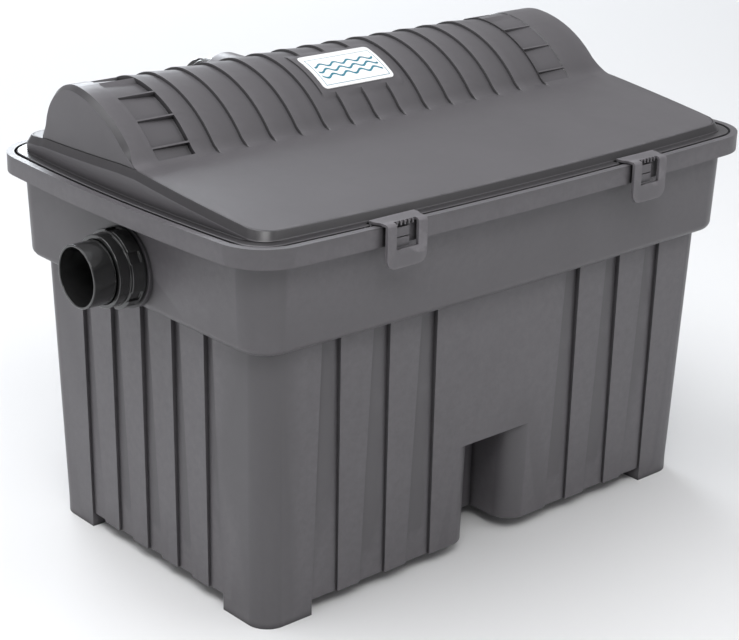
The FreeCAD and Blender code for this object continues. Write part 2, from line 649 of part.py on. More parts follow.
def build_label():
    """Thin blank plate that follows the front arc of the hump."""
    centre = vector(0, size("hump_y"), size("rim_top") + size("hump_z"))
    inner = size("hump_radius") + 0.02
    outer = inner + size("label_wall")
    low_y, high_y = size("label_low_y"), size("label_high_y")

    def on_arc(radius, y):
        return vector(0, y, centre.z + math.sqrt(radius ** 2 - (y - centre.y) ** 2))

    middle = (low_y + high_y) / 2
    edges = [Part.Arc(on_arc(inner, low_y), on_arc(inner, middle),
                      on_arc(inner, high_y)).toShape(),
             Part.makeLine(on_arc(inner, high_y), on_arc(outer, high_y)),
             Part.Arc(on_arc(outer, high_y), on_arc(outer, middle),
                      on_arc(outer, low_y)).toShape(),
             Part.makeLine(on_arc(outer, low_y), on_arc(inner, low_y))]
    face = Part.Face(Part.Wire(edges))
    face.translate(vector(size("label_left"), 0, 0))
    return computed("label", face.extrude(vector(size("label_right") - size("label_left"),
                                                 0, 0)))


# ---- hinges and clips ----

def build_pin(label, radius, length, x, y, z):
    """Pin along X, centred on x."""
    pin = DOC.addObject("Part::Cylinder", label)
    pin.Label = label
    bind(pin, Radius=radius, Height=length)
    place(pin, f"{x} - ( {length} ) / 2", y, z, Y_AXIS, 90)
    PARTS.append(pin)
    return pin


def build_clip(label, centre):
    """Clip seen from its side on the YZ plane: barrel, plate over the rim, windowed front."""
    clip = new_body(label)
    barrel = new_sketch(clip, f"{label}_barrel", "-1 * clip_root_half", "YZ_Plane")
    add_circle(barrel, "clip_barrel_radius", "clip_pin_y", "clip_pin_z")
    add_pad(clip, barrel, "2 * clip_root_half")
    plate = new_sketch(clip, f"{label}_plate", "-1 * clip_half", "YZ_Plane")
    add_rectangle(plate, "clip_front", "clip_pin_y", "clip_top - clip_plate", "clip_top")
    add_pad(clip, plate, "2 * clip_half")
    neck = new_sketch(clip, f"{label}_neck", "-1 * clip_half", "YZ_Plane")
    add_rectangle(neck, "clip_pin_y - 1.5", "clip_pin_y", "clip_pin_z",
                  "clip_top - clip_plate / 2")
    add_pad(clip, neck, "2 * clip_half")
    front = new_sketch(clip, f"{label}_front", "-1 * clip_half", "YZ_Plane")
    add_rectangle(front, "clip_front", "clip_front + clip_wall", "clip_low", "clip_top")
    add_pad(clip, front, "2 * clip_half")
    window = new_sketch(clip, f"{label}_window", "-1 * window_half", "YZ_Plane")
    add_rectangle(window, "clip_front - 5", "window_back", "window_low", "clip_top + 5")
    pocket = add_pocket(clip, window, "2 * window_half")
    pocket.Reversed = True
    tooth = new_sketch(clip, f"{label}_tooth",
                       "-1 * tooth_pitch * ( tooth_count - 1 ) / 2 - tooth_width / 2",
                       "YZ_Plane")
    add_rectangle(tooth, "window_back - 1.4", "window_back + 0.5", "clip_top - 3.4",
                  "clip_top - 0.3")
    first = add_pad(clip, tooth, "tooth_width")
    repeat_along(clip, first, "X_Axis", "tooth_pitch", "tooth_count")
    pin_hole = new_sketch(clip, f"{label}_pin_hole", "-1 * clip_root_half - 1", "YZ_Plane")
    add_circle(pin_hole, "clip_pin_radius + pin_clearance", "clip_pin_y", "clip_pin_z")
    hole = add_pocket(clip, pin_hole, "2 * clip_root_half + 2")
    hole.Reversed = True
    DOC.recompute()
    corners = [f"Edge{i}" for i, edge in enumerate(hole.Shape.Edges, start=1)
               if edge.BoundBox.ZMax < size("clip_low") + 0.01
               and edge.BoundBox.YLength > size("clip_wall") - 0.01
               and edge.BoundBox.XLength < 0.01]
    rounding = clip.newObject("PartDesign::Fillet", f"{label}_rounding")
    rounding.Base = (hole, corners)
    bind(rounding, Radius="clip_corner")
    place(clip, centre)
    return clip


# ---- outlet, inlet and spray bar ----

def grip_notches(nut, name, radius, depth, width, start, length, count):
    """Sink evenly spaced flats into the outside of a nut."""
    sketch = new_sketch(nut, name, start)
    add_rectangle(sketch, f"{radius} - {depth}", f"{radius} + 5", f"-1 * {width} / 2",
                  f"{width} / 2")
    notch = add_pocket(nut, sketch, length)
    notch.Reversed = True
    repeat_round(nut, notch, count)


def build_outlet():
    """Outlet group; each body's own Z axis runs out of the tank, along -X."""
    spigot = new_body("outlet_spigot")
    add_ring(spigot, "outlet_neck", "neck_radius", "pipe_bore",
             "socket_end + seal_wall", "nut_end + 1 - socket_end - seal_wall")
    add_ring(spigot, "outlet_pipe", "pipe_radius", "pipe_bore", "nut_end + 1",
             "outlet_end - nut_end - 1")
    add_ring(spigot, "outlet_flange", "pipe_flange_radius", "pipe_bore",
             "socket_end + seal_wall", "pipe_flange")
    gasket = new_body("outlet_gasket")
    add_ring(gasket, "outlet_gasket_ring", "socket_radius - 0.4", "socket_bore + 0.4",
             "socket_end", "seal_wall")
    nut = new_body("outlet_union_nut")
    add_ring(nut, "outlet_nut_skirt", "nut_radius", "nut_bore", "nut_start",
             "nut_step - nut_start")
    add_ring(nut, "outlet_nut_collar", "nut_collar", "nut_bore", "nut_step",
             "socket_end + seal_wall + pipe_flange + union_gap - nut_step")
    add_ring(nut, "outlet_nut_lip", "nut_collar", "nut_lip_bore",
             "socket_end + seal_wall + pipe_flange + union_gap",
             "nut_end - socket_end - seal_wall - pipe_flange - union_gap")
    grip_notches(nut, "outlet_nut_notch", "nut_radius", "nut_lug_depth", "nut_lug_width",
                 "nut_start + 3", "nut_step - nut_start", "nut_lug_count")
    for piece in (spigot, gasket, nut):
        place(piece, "0", "0", "outlet_z", Y_AXIS, -90)


def build_inlet():
    """Inlet group; each body's own Z axis runs out of the lid, along +Y."""
    seal = new_body("inlet_gasket")
    add_ring(seal, "inlet_gasket_ring", "spout_radius - 0.4", "inlet_seal_in", "spout_end",
             "seal_wall")
    tail = new_body("inlet_hose_tail")
    add_ring(tail, "inlet_tail_flange", "tail_flange_radius", "branch_bore",
             "spout_end + seal_wall", "pipe_flange")
    add_ring(tail, "inlet_tail_tube", "tail_radius", "branch_bore", "spout_end + seal_wall",
             "tail_end - spout_end - seal_wall")
    for barb in range(3):
        add_ring(tail, f"inlet_tail_barb_{barb}", "tail_barb", "branch_bore",
                 f"tail_end - 3 - {barb} * 6", "2")
    nut = new_body("inlet_union_nut")
    add_ring(nut, "inlet_nut_skirt", "inlet_nut_radius", "inlet_nut_bore",
             "inlet_nut_start", "spout_end + seal_wall + pipe_flange + union_gap - inlet_nut_start")
    add_ring(nut, "inlet_nut_lip_ring", "inlet_nut_radius", "inlet_nut_lip",
             "spout_end + seal_wall + pipe_flange + union_gap",
             "inlet_nut_end - spout_end - seal_wall - pipe_flange - union_gap")
    grip_notches(nut, "inlet_nut_notch", "inlet_nut_radius", "1.2", "6",
                 "inlet_nut_start + 2", "inlet_nut_end", "8")
    for piece in (seal, tail, nut):
        place(piece, "inlet_x", "0", "inlet_z", X_AXIS, -90)


def build_spray_bar():
    """Pipe along X with a branch to the inlet and a row of holes below."""
    bar = new_body("spray_bar")
    pipe = new_sketch(bar, "bar_pipe", "bar_left", "YZ_Plane")
    add_circle(pipe, "bar_radius", "bar_y", "inlet_z")
    add_pad(bar, pipe, "bar_right - bar_left")
    branch = new_sketch(bar, "bar_branch", "-1 * branch_end", "XZ_Plane")
    add_circle(branch, "branch_radius", "inlet_x", "inlet_z")
    add_pad(bar, branch, "branch_end - bar_y")
    bore = new_sketch(bar, "bar_bore_round", "bar_left - 1", "YZ_Plane")
    add_circle(bore, "bar_bore", "bar_y", "inlet_z")
    inside = add_pocket(bar, bore, "bar_right - bar_left + 2")
    inside.Reversed = True
    way = new_sketch(bar, "bar_way", "-1 * branch_end - 1", "XZ_Plane")
    add_circle(way, "branch_bore", "inlet_x", "inlet_z")
    way_in = add_pocket(bar, way, "branch_end - bar_y + 1")
    way_in.Reversed = True
    hole = new_sketch(bar, "bar_hole", "inlet_z - bar_radius - 1")
    add_circle(hole, "bar_hole_radius", "bar_left + 30", "bar_y")
    first = add_pocket(bar, hole, "bar_radius")
    first.Reversed = True
    repeat_along(bar, first, "X_Axis", "bar_hole_pitch", "bar_hole_count")
    place(bar)
    for side, end, turn in (("left", "bar_left", -90), ("right", "bar_right", 90)):
        cap = new_body(f"spray_bar_cap_{side}")
        add_ring(cap, f"bar_cap_wall_{side}", "bar_radius + cap_wall", "bar_radius + 0.05",
                 "-1 * cap_depth", "cap_depth + 0.1")
        add_ring(cap, f"bar_cap_end_{side}", "bar_radius + cap_wall", None, "0.1",
                 "cap_wall")
        place(cap, end, "bar_y", "inlet_z", Y_AXIS, turn)


def build_bracket(label, centre):
    """Ring around the spray bar under a screwed flange, from boxes and cylinders."""
    ring = DOC.addObject("Part::Cylinder", f"{label}_ring")
    bind(ring, Radius="bracket_ring", Height="bracket_width")
    set_at(ring, "-1 * bracket_width / 2", "bar_y", "inlet_z", Y_AXIS, 90)
    flange = DOC.addObject("Part::Box", f"{label}_flange")
    bind(flange, Length="bracket_width", Width="2 * bracket_half", Height="bracket_flange")
    set_at(flange, "-1 * bracket_width / 2", "bar_y - bracket_half",
           "bracket_top - bracket_flange")
    solid = DOC.addObject("Part::MultiFuse", f"{label}_solid")
    solid.Shapes = [ring, flange]
    hole = DOC.addObject("Part::Cylinder", f"{label}_hole")
    bind(hole, Radius="bar_radius + 0.05", Height="bracket_width + 2")
    set_at(hole, "-1 * bracket_width / 2 - 1", "bar_y", "inlet_z", Y_AXIS, 90)
    above = DOC.addObject("Part::Box", f"{label}_above")
    bind(above, Length="bracket_width + 2", Width="4 * bracket_half", Height="10")
    set_at(above, "-1 * bracket_width / 2 - 1", "bar_y - 2 * bracket_half", "bracket_top")
    ways = []
    for side in (-1, 1):
        way = DOC.addObject("Part::Cylinder", f"{label}_way")
        bind(way, Radius="screw_radius + 0.3", Height="10")
        set_at(way, "0", f"bar_y + {side} * screw_reach", "bracket_top - 8")
        ways.append(way)
    cutters = DOC.addObject("Part::Compound", f"{label}_cutters")
    cutters.Links = [hole, above] + ways
    bracket = DOC.addObject("Part::Cut", label)
    bracket.Label = label
    bracket.Base = solid
    bracket.Tool = cutters
    place(bracket, centre)
    PARTS.append(bracket)


def build_bracket_screws():
    """Four pan-head screws that hold both brackets up to the lid."""
    screws = []
    for centre in ("bracket_left_x", "bracket_right_x"):
        for side in (-1, 1):
            y = f"bar_y + {side} * screw_reach"
            seat = "bracket_top - bracket_flange"
            shank = DOC.addObject("Part::Cylinder", "screw_shank")
            bind(shank, Radius="screw_radius", Height="screw_length")
            set_at(shank, centre, y, seat)
            head = DOC.addObject("Part::Cylinder", "screw_head")
            bind(head, Radius="screw_head", Height="screw_head_wall")
            set_at(head, centre, y, f"{seat} - screw_head_wall")
            screw = DOC.addObject("Part::Fuse", "screw")
            screw.Base, screw.Tool = shank, head
            screws.append(screw)
    add_group("bracket_screws", screws)


# ---- inside the tank ----

def build_divider():
    """Upright plate between the chambers, with a row of water windows at the floor."""
    plate = new_body("divider_plate")
    outline = new_sketch(plate, "divider_outline", "-1 * divider_wall / 2", "YZ_Plane")
    add_rectangle(outline, "-1 * divider_half", "divider_half", "body_low + floor_wall + 0.3",
                  "divider_top")
    add_pad(plate, outline, "divider_wall")
    window = new_sketch(plate, "divider_window", "-1 * divider_wall", "YZ_Plane")
    add_rectangle(window, "-1 * divider_half + 18", "-1 * divider_half + 18 + divider_window",
                  "body_low + floor_wall + 12",
                  "body_low + floor_wall + 12 + divider_window_height")
    first = add_pocket(plate, window, "2 * divider_wall")
    first.Reversed = True
    repeat_along(plate, first, "Y_Axis", "( divider_window + 14 )", "5")
    place(plate, "divider_x")


def build_grid(label, low_x, high_x):
    """Slotted plate that carries the filter media."""
    grid = new_body(label)
    outline = new_sketch(grid, f"{label}_outline", "grid_level")
    add_rectangle(outline, low_x, high_x, "-1 * grid_half", "grid_half")
    add_pad(grid, outline, "grid_wall")
    slot = new_sketch(grid, f"{label}_slot", "grid_level - 1")
    add_rectangle(slot, f"{low_x} + 12", f"{high_x} - 12",
                  "-1 * grid_pitch * 7 - grid_slot / 2", "-1 * grid_pitch * 7 + grid_slot / 2")
    first = add_pocket(grid, slot, "grid_wall + 2")
    first.Reversed = True
    repeat_along(grid, first, "Y_Axis", "grid_pitch", "15")
    place(grid)


def build_grid_feet():
    """Eight round feet that hold both grids up from the floor."""
    feet = []
    for low_x, high_x, inset in (("right_low_x", "right_high_x", "foot_in_right"),
                                 ("left_low_x", "left_high_x", "foot_in_left")):
        for x in (f"{low_x} + {inset}", f"{high_x} - {inset}"):
            for sign in ("-1", "1"):
                foot = DOC.addObject("Part::Cylinder", "grid_foot")
                bind(foot, Radius="foot_radius", Height="grid_level - body_low - floor_wall")
                bind(foot, Placement__Base__x=x, Placement__Base__z="body_low + floor_wall",
                     Placement__Base__y=f"{sign} * ( grid_half - foot_inset )")
                feet.append(foot)
    add_group("grid_feet", feet)


def build_foams():
    """Three mats stacked on the right grid, the coarsest on top, where the water comes in."""
    level = "grid_level + grid_wall + foam_gap"
    for label in ("fine", "medium", "coarse"):
        mat = new_body(f"foam_{label}")
        outline = new_sketch(mat, f"foam_{label}_outline", level)
        add_rectangle(outline, "right_low_x + foam_inset", "right_high_x - foam_inset",
                      "-1 * grid_half + foam_inset", "grid_half - foam_inset")
        add_pad(mat, outline, f"{label}_height")
        place(mat)
        level = f"{level} + {label}_height + foam_gap"


def build_bio_balls():
    """Loose filter balls on the left grid, in three offset layers."""
    radius, gap = size("ball_radius"), size("ball_gap")
    pitch = 2 * radius + gap
    balls = []
    for layer in range(3):
        rows = 8 - layer % 2
        for row in range(rows):
            for column in range(3):
                ball = DOC.addObject("Part::Sphere", "bio_ball")
                bind(ball, Radius="ball_radius")
                lift = layer * (pitch * 0.86 + 0.5)
                shift = (column - 1) * pitch
                set_at(ball, f"( left_low_x + left_high_x ) / 2 + {shift}",
                       f"{(row - (rows - 1) / 2) * pitch}",
                       f"grid_level + grid_wall + ball_radius + ball_gap + {lift}")
                balls.append(ball)
    add_group("bio_balls", balls)


def build_drain():
    """Drain group low in the right end; each body's own Z axis runs out, along +X."""
    fitting = new_body("drain_fitting")
    add_ring(fitting, "drain_flange_ring", "drain_flange", "drain_bore",
             "drain_inner - seal_wall - 3", "3")
    add_ring(fitting, "drain_tube", "drain_radius", "drain_bore",
             "drain_inner - seal_wall - 3", "drain_end - drain_inner + seal_wall + 3")
    gasket = new_body("drain_gasket")
    add_ring(gasket, "drain_gasket_ring", "drain_flange - 0.5", "drain_radius + 0.1",
             "drain_inner - seal_wall", "seal_wall")
    nut = new_body("drain_locknut")
    add_ring(nut, "drain_nut_ring", "drain_nut_radius", "drain_radius + 0.05",
             "drain_outer + 0.1", "drain_nut_wall")
    grip_notches(nut, "drain_nut_notch", "drain_nut_radius", "1.2", "7",
                 "drain_outer + 1.5", "drain_nut_wall", "6")
    seal = new_body("drain_cap_seal")
    add_ring(seal, "drain_seal_ring", "drain_cap_bore - 0.35", "drain_bore",
             "drain_end + 0.35", "1.4")
    cap = new_body("drain_cap")
    add_ring(cap, "drain_cap_skirt", "drain_cap_radius", "drain_cap_bore",
             "drain_cap_start", "drain_end + 2.1 - drain_cap_start")
    add_ring(cap, "drain_cap_end_disc", "drain_cap_radius", None, "drain_end + 2.1",
             "drain_cap_end - drain_end - 2.1")
    grip_notches(cap, "drain_cap_notch", "drain_cap_radius", "1", "4",
                 "drain_cap_start + 2", "drain_cap_end", "drain_cap_ribs")
    for piece in (fitting, gasket, nut, seal, cap):
        place(piece, "0", "0", "drain_z", Y_AXIS, 90)


def build_all():
    build_tank()
    build_lid()
    build_lid_gasket()
    build_label()
    for side, sign in (("left", "-1"), ("right", "1")):
        build_pin(f"hinge_pin_{side}", "hinge_pin_radius", "2 * tank_knuckle_out + 2",
                  f"{sign} * hinge_x", "hinge_y", "hinge_z")
        build_pin(f"clip_pin_{side}", "clip_pin_radius", "clip_pin_length",
                  f"clip_{side}_x", "clip_pin_y", "clip_pin_z")
        build_clip(f"clip_{side}", f"clip_{side}_x")
        build_bracket(f"spray_bar_bracket_{side}", f"bracket_{side}_x")
    build_outlet()
    build_inlet()
    build_spray_bar()
    build_bracket_screws()
    build_divider()
    build_grid("support_grid_right", "right_low_x", "right_high_x")
    build_grid("support_grid_left", "left_low_x", "left_high_x")
    build_grid_feet()
    build_foams()
    build_bio_balls()
    build_drain()
    DOC.recompute()


def check_and_export():
    broken = [thing.Label for thing in DOC.Objects
              if "Invalid" in thing.State or "Error" in thing.State]
    broken += [piece.Label for piece in PARTS
               if piece.Shape.isNull() or not piece.Shape.isValid()
               or piece.Shape.Volume <= 0]
    if broken:
        raise RuntimeError(f"these objects failed: {broken}")
    os.makedirs("parts", exist_ok=True)
    for piece in PARTS:
        piece.Shape.exportStep(f"parts/{piece.Label}.step")
        bounds = piece.Shape.BoundBox
        print(f"{piece.Label:28s} solids {len(piece.Shape.Solids):3d} "
              f"volume {piece.Shape.Volume / 1000:10.2f} cm3  "
              f"x {bounds.XMin:7.1f} {bounds.XMax:7.1f}  y {bounds.YMin:7.1f} "
              f"{bounds.YMax:7.1f}  z {bounds.ZMin:6.1f} {bounds.ZMax:6.1f}")


build_all()
check_and_export()
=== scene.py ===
import json
import math

import bmesh
import bpy
import numpy as np
from mathutils import Euler, Matrix, Vector


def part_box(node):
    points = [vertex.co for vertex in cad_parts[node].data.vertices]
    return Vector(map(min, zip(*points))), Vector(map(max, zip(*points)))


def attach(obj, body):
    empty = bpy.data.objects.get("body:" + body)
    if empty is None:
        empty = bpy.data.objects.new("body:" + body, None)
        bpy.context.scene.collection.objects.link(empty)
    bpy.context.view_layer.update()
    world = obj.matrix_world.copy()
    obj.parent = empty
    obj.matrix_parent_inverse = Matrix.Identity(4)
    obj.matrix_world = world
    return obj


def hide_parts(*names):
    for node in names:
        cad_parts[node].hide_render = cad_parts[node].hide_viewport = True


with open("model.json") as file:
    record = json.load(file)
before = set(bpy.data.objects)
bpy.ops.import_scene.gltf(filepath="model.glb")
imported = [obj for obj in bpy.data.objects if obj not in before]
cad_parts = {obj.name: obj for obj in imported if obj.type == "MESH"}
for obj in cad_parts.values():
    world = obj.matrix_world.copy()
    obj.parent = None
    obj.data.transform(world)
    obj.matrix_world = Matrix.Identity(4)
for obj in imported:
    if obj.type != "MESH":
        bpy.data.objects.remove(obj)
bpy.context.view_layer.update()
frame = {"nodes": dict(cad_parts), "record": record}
NODES = frame["nodes"]
MM = 0.001
SHIFT = 13.25       # mm from the frame's origin to the tank's middle plane, along X
RIM = 322.5         # height of the tank's rim, mm


# ---------------- materials

class Nodes:
    """A node tree. An input is a constant or a socket, and a method returns an output."""

    def __init__(self, tree):
        self.tree = tree

    def feed(self, node, inputs):
        for key, value in inputs.items():
            if isinstance(value, bpy.types.NodeSocket):
                self.tree.links.new(value, node.inputs[key])
            else:
                node.inputs[key].default_value = value

    def add(self, kind, inputs, **settings):
        """Add a node and return all its outputs."""
        node = self.tree.nodes.new("ShaderNode" + kind)
        for key, value in settings.items():
            setattr(node, key, value)
        self.feed(node, inputs)
        return node.outputs

    def coords(self):
        return self.add("TexCoord", {})["Object"]

    def stretched(self, coords, scale):
        return self.add("Mapping", {"Vector": coords, "Scale": scale})[0]

    def noise(self, coords, scale, detail=3, roughness=0.5, output="Fac"):
        return self.add("TexNoise", {"Vector": coords, "Scale": scale, "Detail": detail,
                                     "Roughness": roughness})[output]

    def ramp(self, value, stops):
        node = self.tree.nodes.new("ShaderNodeValToRGB")
        elements = node.color_ramp.elements
        while len(elements) < len(stops):
            elements.new(0.5)
        for element, (place, colour) in zip(elements, stops):
            element.position = place
            element.color = (*colour, 1)
        self.feed(node, {0: value})
        return node.outputs["Color"]

    def bump(self, height, strength, distance, below=None, invert=False):
        inputs = {"Height": height, "Strength": strength, "Distance": distance}
        if below is not None:
            inputs["Normal"] = below
        return self.add("Bump", inputs, invert=invert)["Normal"]

    def mix(self, a, b, factor=1.0, blend="MIX"):
        return self.add("Mix", {"A": a, "B": b, "Factor": factor}, data_type="RGBA",
                        blend_type=blend)["Result"]

    def between(self, low, high, value):
        return self.add("MapRange", {"Value": value, "To Min": low, "To Max": high})["Result"]

    def math(self, operation, *values):
        return self.add("Math", dict(enumerate(values)), operation=operation)[0]


def new_material(name):
    material = bpy.data.materials.new(name)
    material.use_nodes = True
    tree = material.node_tree
    return material, Nodes(tree), tree.nodes["Principled BSDF"]


def shade(colour, factor):
    return tuple(min(1, c * factor) for c in colour)


PAINTED_SHADE_REACH = 0.007      # how far the painted shade reaches out of the corner between two walls, m


def moulded_plastic(name, colour, rough=0.42, grain=0.35, wear=0.25, mottle=0.06,
                    coat=0.0, darkest_painted_shade=0.12):
    """Injection-moulded plastic: fine grain, faint flow mottling, paler worn edges,
    and painted shade where two walls meet.
    """
    material, look, shader = new_material(name)
    coords = look.coords()
    flow = look.noise(look.stretched(coords, (1, 1, 0.35)), 14, 4, 0.55)
    tone = look.ramp(flow, [(0.3, shade(colour, 1 - mottle)),
                            (0.7, shade(colour, 1 + mottle))])
    edge = look.ramp(look.add("NewGeometry", {})["Pointiness"],
                     [(0.49, (0, 0, 0)), (0.56, (1, 1, 1))])
    scuffed = look.math("MULTIPLY", edge, look.noise(coords, 160, 5, 0.7))
    worn = look.mix(tone, (*shade(colour, 1 + 2.2 * wear), 1), scuffed)
    # painted shade: the base colour darkens where ambient occlusion finds two walls close
    # together
    crease = look.add("AmbientOcclusion", {"Distance": PAINTED_SHADE_REACH}, samples=8)["AO"]
    dark = look.ramp(crease, [(0.35, (darkest_painted_shade,) * 3), (0.92, (1, 1, 1))])
    patches = look.noise(coords, 32, 4, 0.6)
    slow = look.bump(look.noise(coords, 22, 2, 0.5), 0.10, 0.0008)
    fine = look.bump(look.noise(coords, 1500, 2, 0.6), grain, 0.00012, slow)
    look.feed(shader, {"Base Color": look.mix(worn, dark, blend="MULTIPLY"),
                       "Roughness": look.between(rough - 0.06, rough + 0.08, patches),
                       "Normal": fine, "Specular IOR Level": 0.5,
                       "Coat Weight": coat, "Coat Roughness": 0.08})
    return material


def rubber(name, colour):
    """Matt rubber with a faint grey bloom."""
    material, look, shader = new_material(name)
    coords = look.coords()
    tone = look.ramp(look.noise(coords, 120, 4, 0.6),
                     [(0.35, shade(colour, 0.8)), (0.75, shade(colour, 1.5))])
    look.feed(shader, {"Base Color": tone, "Roughness": 0.72, "Specular IOR Level": 0.35,
                       "Normal": look.bump(look.noise(coords, 2200, 2), 0.3, 0.0001)})
    return material


def steel(name, colour):
    """Drawn wire and screws: streaks along the length."""
    material, look, shader = new_material(name)
    streaks = look.noise(look.stretched(look.coords(), (0.05, 1, 1)), 900, 3, 0.6)
    tone = look.ramp(streaks, [(0.3, shade(colour, 0.8)), (0.7, shade(colour, 1.1))])
    look.feed(shader, {"Base Color": tone, "Metallic": 1,
                       "Roughness": look.between(0.2, 0.42, streaks)})
    return material


def foam(name, colour, cell):
    """Open-cell foam: paler struts, with painted shade deepening the pores between them; cell
    is the pore size in metres.
    """
    material, look, shader = new_material(name)
    coords = look.coords()
    warp = look.noise(coords, 0.6 / cell, 2, output="Color")
    warped = look.add("Mix", {"A": coords, "B": warp, "Factor": 0.004}, data_type="VECTOR")
    pores = look.add("TexVoronoi", {"Vector": warped["Result"], "Scale": 1 / cell},
                     feature="DISTANCE_TO_EDGE")["Distance"]
    # painted shade: the colour darkens towards the middle of each pore
    struts = look.ramp(pores, [(0.04, shade(colour, 1.5)), (0.16, shade(colour, 0.9)),
                               (0.4, shade(colour, 0.16))])
    stain = look.ramp(look.noise(coords, 18, 4, 0.6),
                      [(0.35, (0.78, 0.78, 0.76)), (0.65, (1, 1, 1))])
    look.feed(shader, {"Base Color": look.mix(struts, stain, blend="MULTIPLY"),
                       "Normal": look.bump(pores, 0.9, cell * 0.5, invert=True),
                       "Roughness": 0.85, "Sheen Weight": 0.25, "Specular IOR Level": 0.25})
    return material


GREY = (0.081, 0.0765, 0.082)
BLACK = (0.011, 0.011, 0.011)
SLOTS = {
    "tank_plastic": moulded_plastic("tank_plastic", GREY, rough=0.40),
    "lid_plastic": moulded_plastic("lid_plastic", shade(GREY, 1.02), rough=0.38,
                                   mottle=0.04),
    "pipe_plastic": moulded_plastic("pipe_plastic", BLACK, rough=0.22, grain=0.05,
                                    wear=0.6, mottle=0.15, coat=0.5),
    "seal_rubber": rubber("seal_rubber", (0.022, 0.022, 0.022)),
    "pin_steel": steel("pin_steel", (0.60, 0.60, 0.62)),
    "inner_plastic": moulded_plastic("inner_plastic", (0.045, 0.045, 0.05), rough=0.45),
    "foam_blue": foam("foam_blue", (0.035, 0.13, 0.30), 0.0036),
    "foam_green": foam("foam_green", (0.06, 0.20, 0.10), 0.0024),
    "foam_grey": foam("foam_grey", (0.15, 0.15, 0.16), 0.0015),
    "ball_plastic": moulded_plastic("ball_plastic", (0.035, 0.05, 0.095), rough=0.34),
}


def set_material(thing, material):
    thing.data.materials.clear()
    thing.data.materials.append(material)


# ---------------- mesh helpers

def placed(x, y, z):
    """Point in the frame, in metres, from millimetres about the tank's middle and rim."""
    return ((x + SHIFT) * MM, y * MM, (z + RIM) * MM)


def add_lathe(mesh, profile, origin, axis, count):
    """Closed ring solid from a (radius, distance) profile round an axis, in mm."""
    axis = Vector(axis).normalized()
    across = axis.orthogonal().normalized()
    other = axis.cross(across)
    rings = []
    for k in range(count):
        a = 2 * math.pi * k / count
        out = across * math.cos(a) + other * math.sin(a)
        rings.append([mesh.verts.new(placed(*(Vector(origin) + axis * d + out * r)))
                      for r, d in profile])
    n = len(profile)
    for k in range(count):
        near, far = rings[k], rings[(k + 1) % count]
        for i in range(n):
            mesh.faces.new((near[i], near[(i + 1) % n], far[(i + 1) % n], far[i]))


def add_prism(mesh, section, x0, x1):
    """Solid between two X planes from a closed (y, z) section, in mm."""
    ends = [[mesh.verts.new(placed(x, y, z)) for y, z in section] for x in (x0, x1)]
    n = len(section)
    mesh.faces.new(ends[0])
    mesh.faces.new(ends[1][::-1])
    for i in range(n):
        mesh.faces.new((ends[0][i], ends[1][i], ends[1][(i + 1) % n], ends[0][(i + 1) % n]))


def add_box(mesh, low, high):
    add_prism(mesh, [(low[1], low[2]), (high[1], low[2]), (high[1], high[2]),
                     (low[1], high[2])], low[0], high[0])


def round_section(section, radius, count=4):
    """Round the corners of a closed section."""
    points = []
    n = len(section)
    for i in range(n):
        here, before, after = (Vector(section[k % n]) for k in (i, i - 1, i + 1))
        a, b = (before - here), (after - here)
        reach = min(radius, a.length * 0.45, b.length * 0.45)
        start, end = here + a.normalized() * reach, here + b.normalized() * reach
        for k in range(count + 1):
            t = k / count
            points.append(tuple(start * (1 - t) ** 2 + here * 2 * t * (1 - t) + end * t * t))
    return points


def mesh_data(name, mesh):
    data = bpy.data.meshes.new(name)
    mesh.to_mesh(data)
    mesh.free()
    return data


def new_object(name, data):
    thing = bpy.data.objects.new(name, data)
    bpy.context.scene.collection.objects.link(thing)
    return thing


def finish_piece(name, mesh, materials, body, slot, *nodes):
    """Put a mesh into the scene as a piece that stands for CAD nodes."""
    data = mesh_data(name, mesh)
    piece = new_object(name, data)
    for material in materials:
        data.materials.append(material)
    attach(piece, body)
    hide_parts(*nodes)
    return piece


def even_normals(piece, angle=28):
    piece.data.shade_smooth()
    piece.data.set_sharp_from_angle(angle=math.radians(angle))
    weighted = piece.modifiers.new("normals", "WEIGHTED_NORMAL")
    weighted.keep_sharp = True


def cut_away(piece, cutter):
    """Take a cutter mesh out of a piece, and keep the result as the piece's own mesh."""
    bmesh.ops.recalc_face_normals(cutter, faces=cutter.faces)
    tool = new_object("cutter", mesh_data("cutter", cutter))
    boolean = piece.modifiers.new("cut", "BOOLEAN")
    boolean.object = tool
    boolean.solver = "EXACT"
    bpy.context.view_layer.update()
    shaped = piece.evaluated_get(bpy.context.evaluated_depsgraph_get())
    result = bpy.data.meshes.new_from_object(shaped)
    piece.modifiers.remove(boolean)
    bpy.data.objects.remove(tool)
    piece.data = result


def add_bevel(thing, width, angle):
    bevel = thing.modifiers.new("bevel", "BEVEL")
    bevel.width = width * MM
    bevel.segments = 3
    bevel.limit_method = "ANGLE"
    bevel.angle_limit = math.radians(angle)
    bevel.harden_normals = True
    return bevel


def soften(thing, width):
    """Rounded edges and even shading on a CAD node."""
    weld = thing.modifiers.new("weld", "WELD")
    weld.merge_threshold = 1e-6
    add_bevel(thing, width, 35).miter_outer = "MITER_ARC"
    even = thing.modifiers.new("even", "WEIGHTED_NORMAL")
    even.weight = 100
    even.keep_sharp = True
    thing.data.shade_smooth()


# ---------------- CAD nodes

for entry in frame["record"]["subparts"]:
    if entry["material_slot"] in SLOTS:
        set_material(NODES[entry["node"]], SLOTS[entry["material_slot"]])

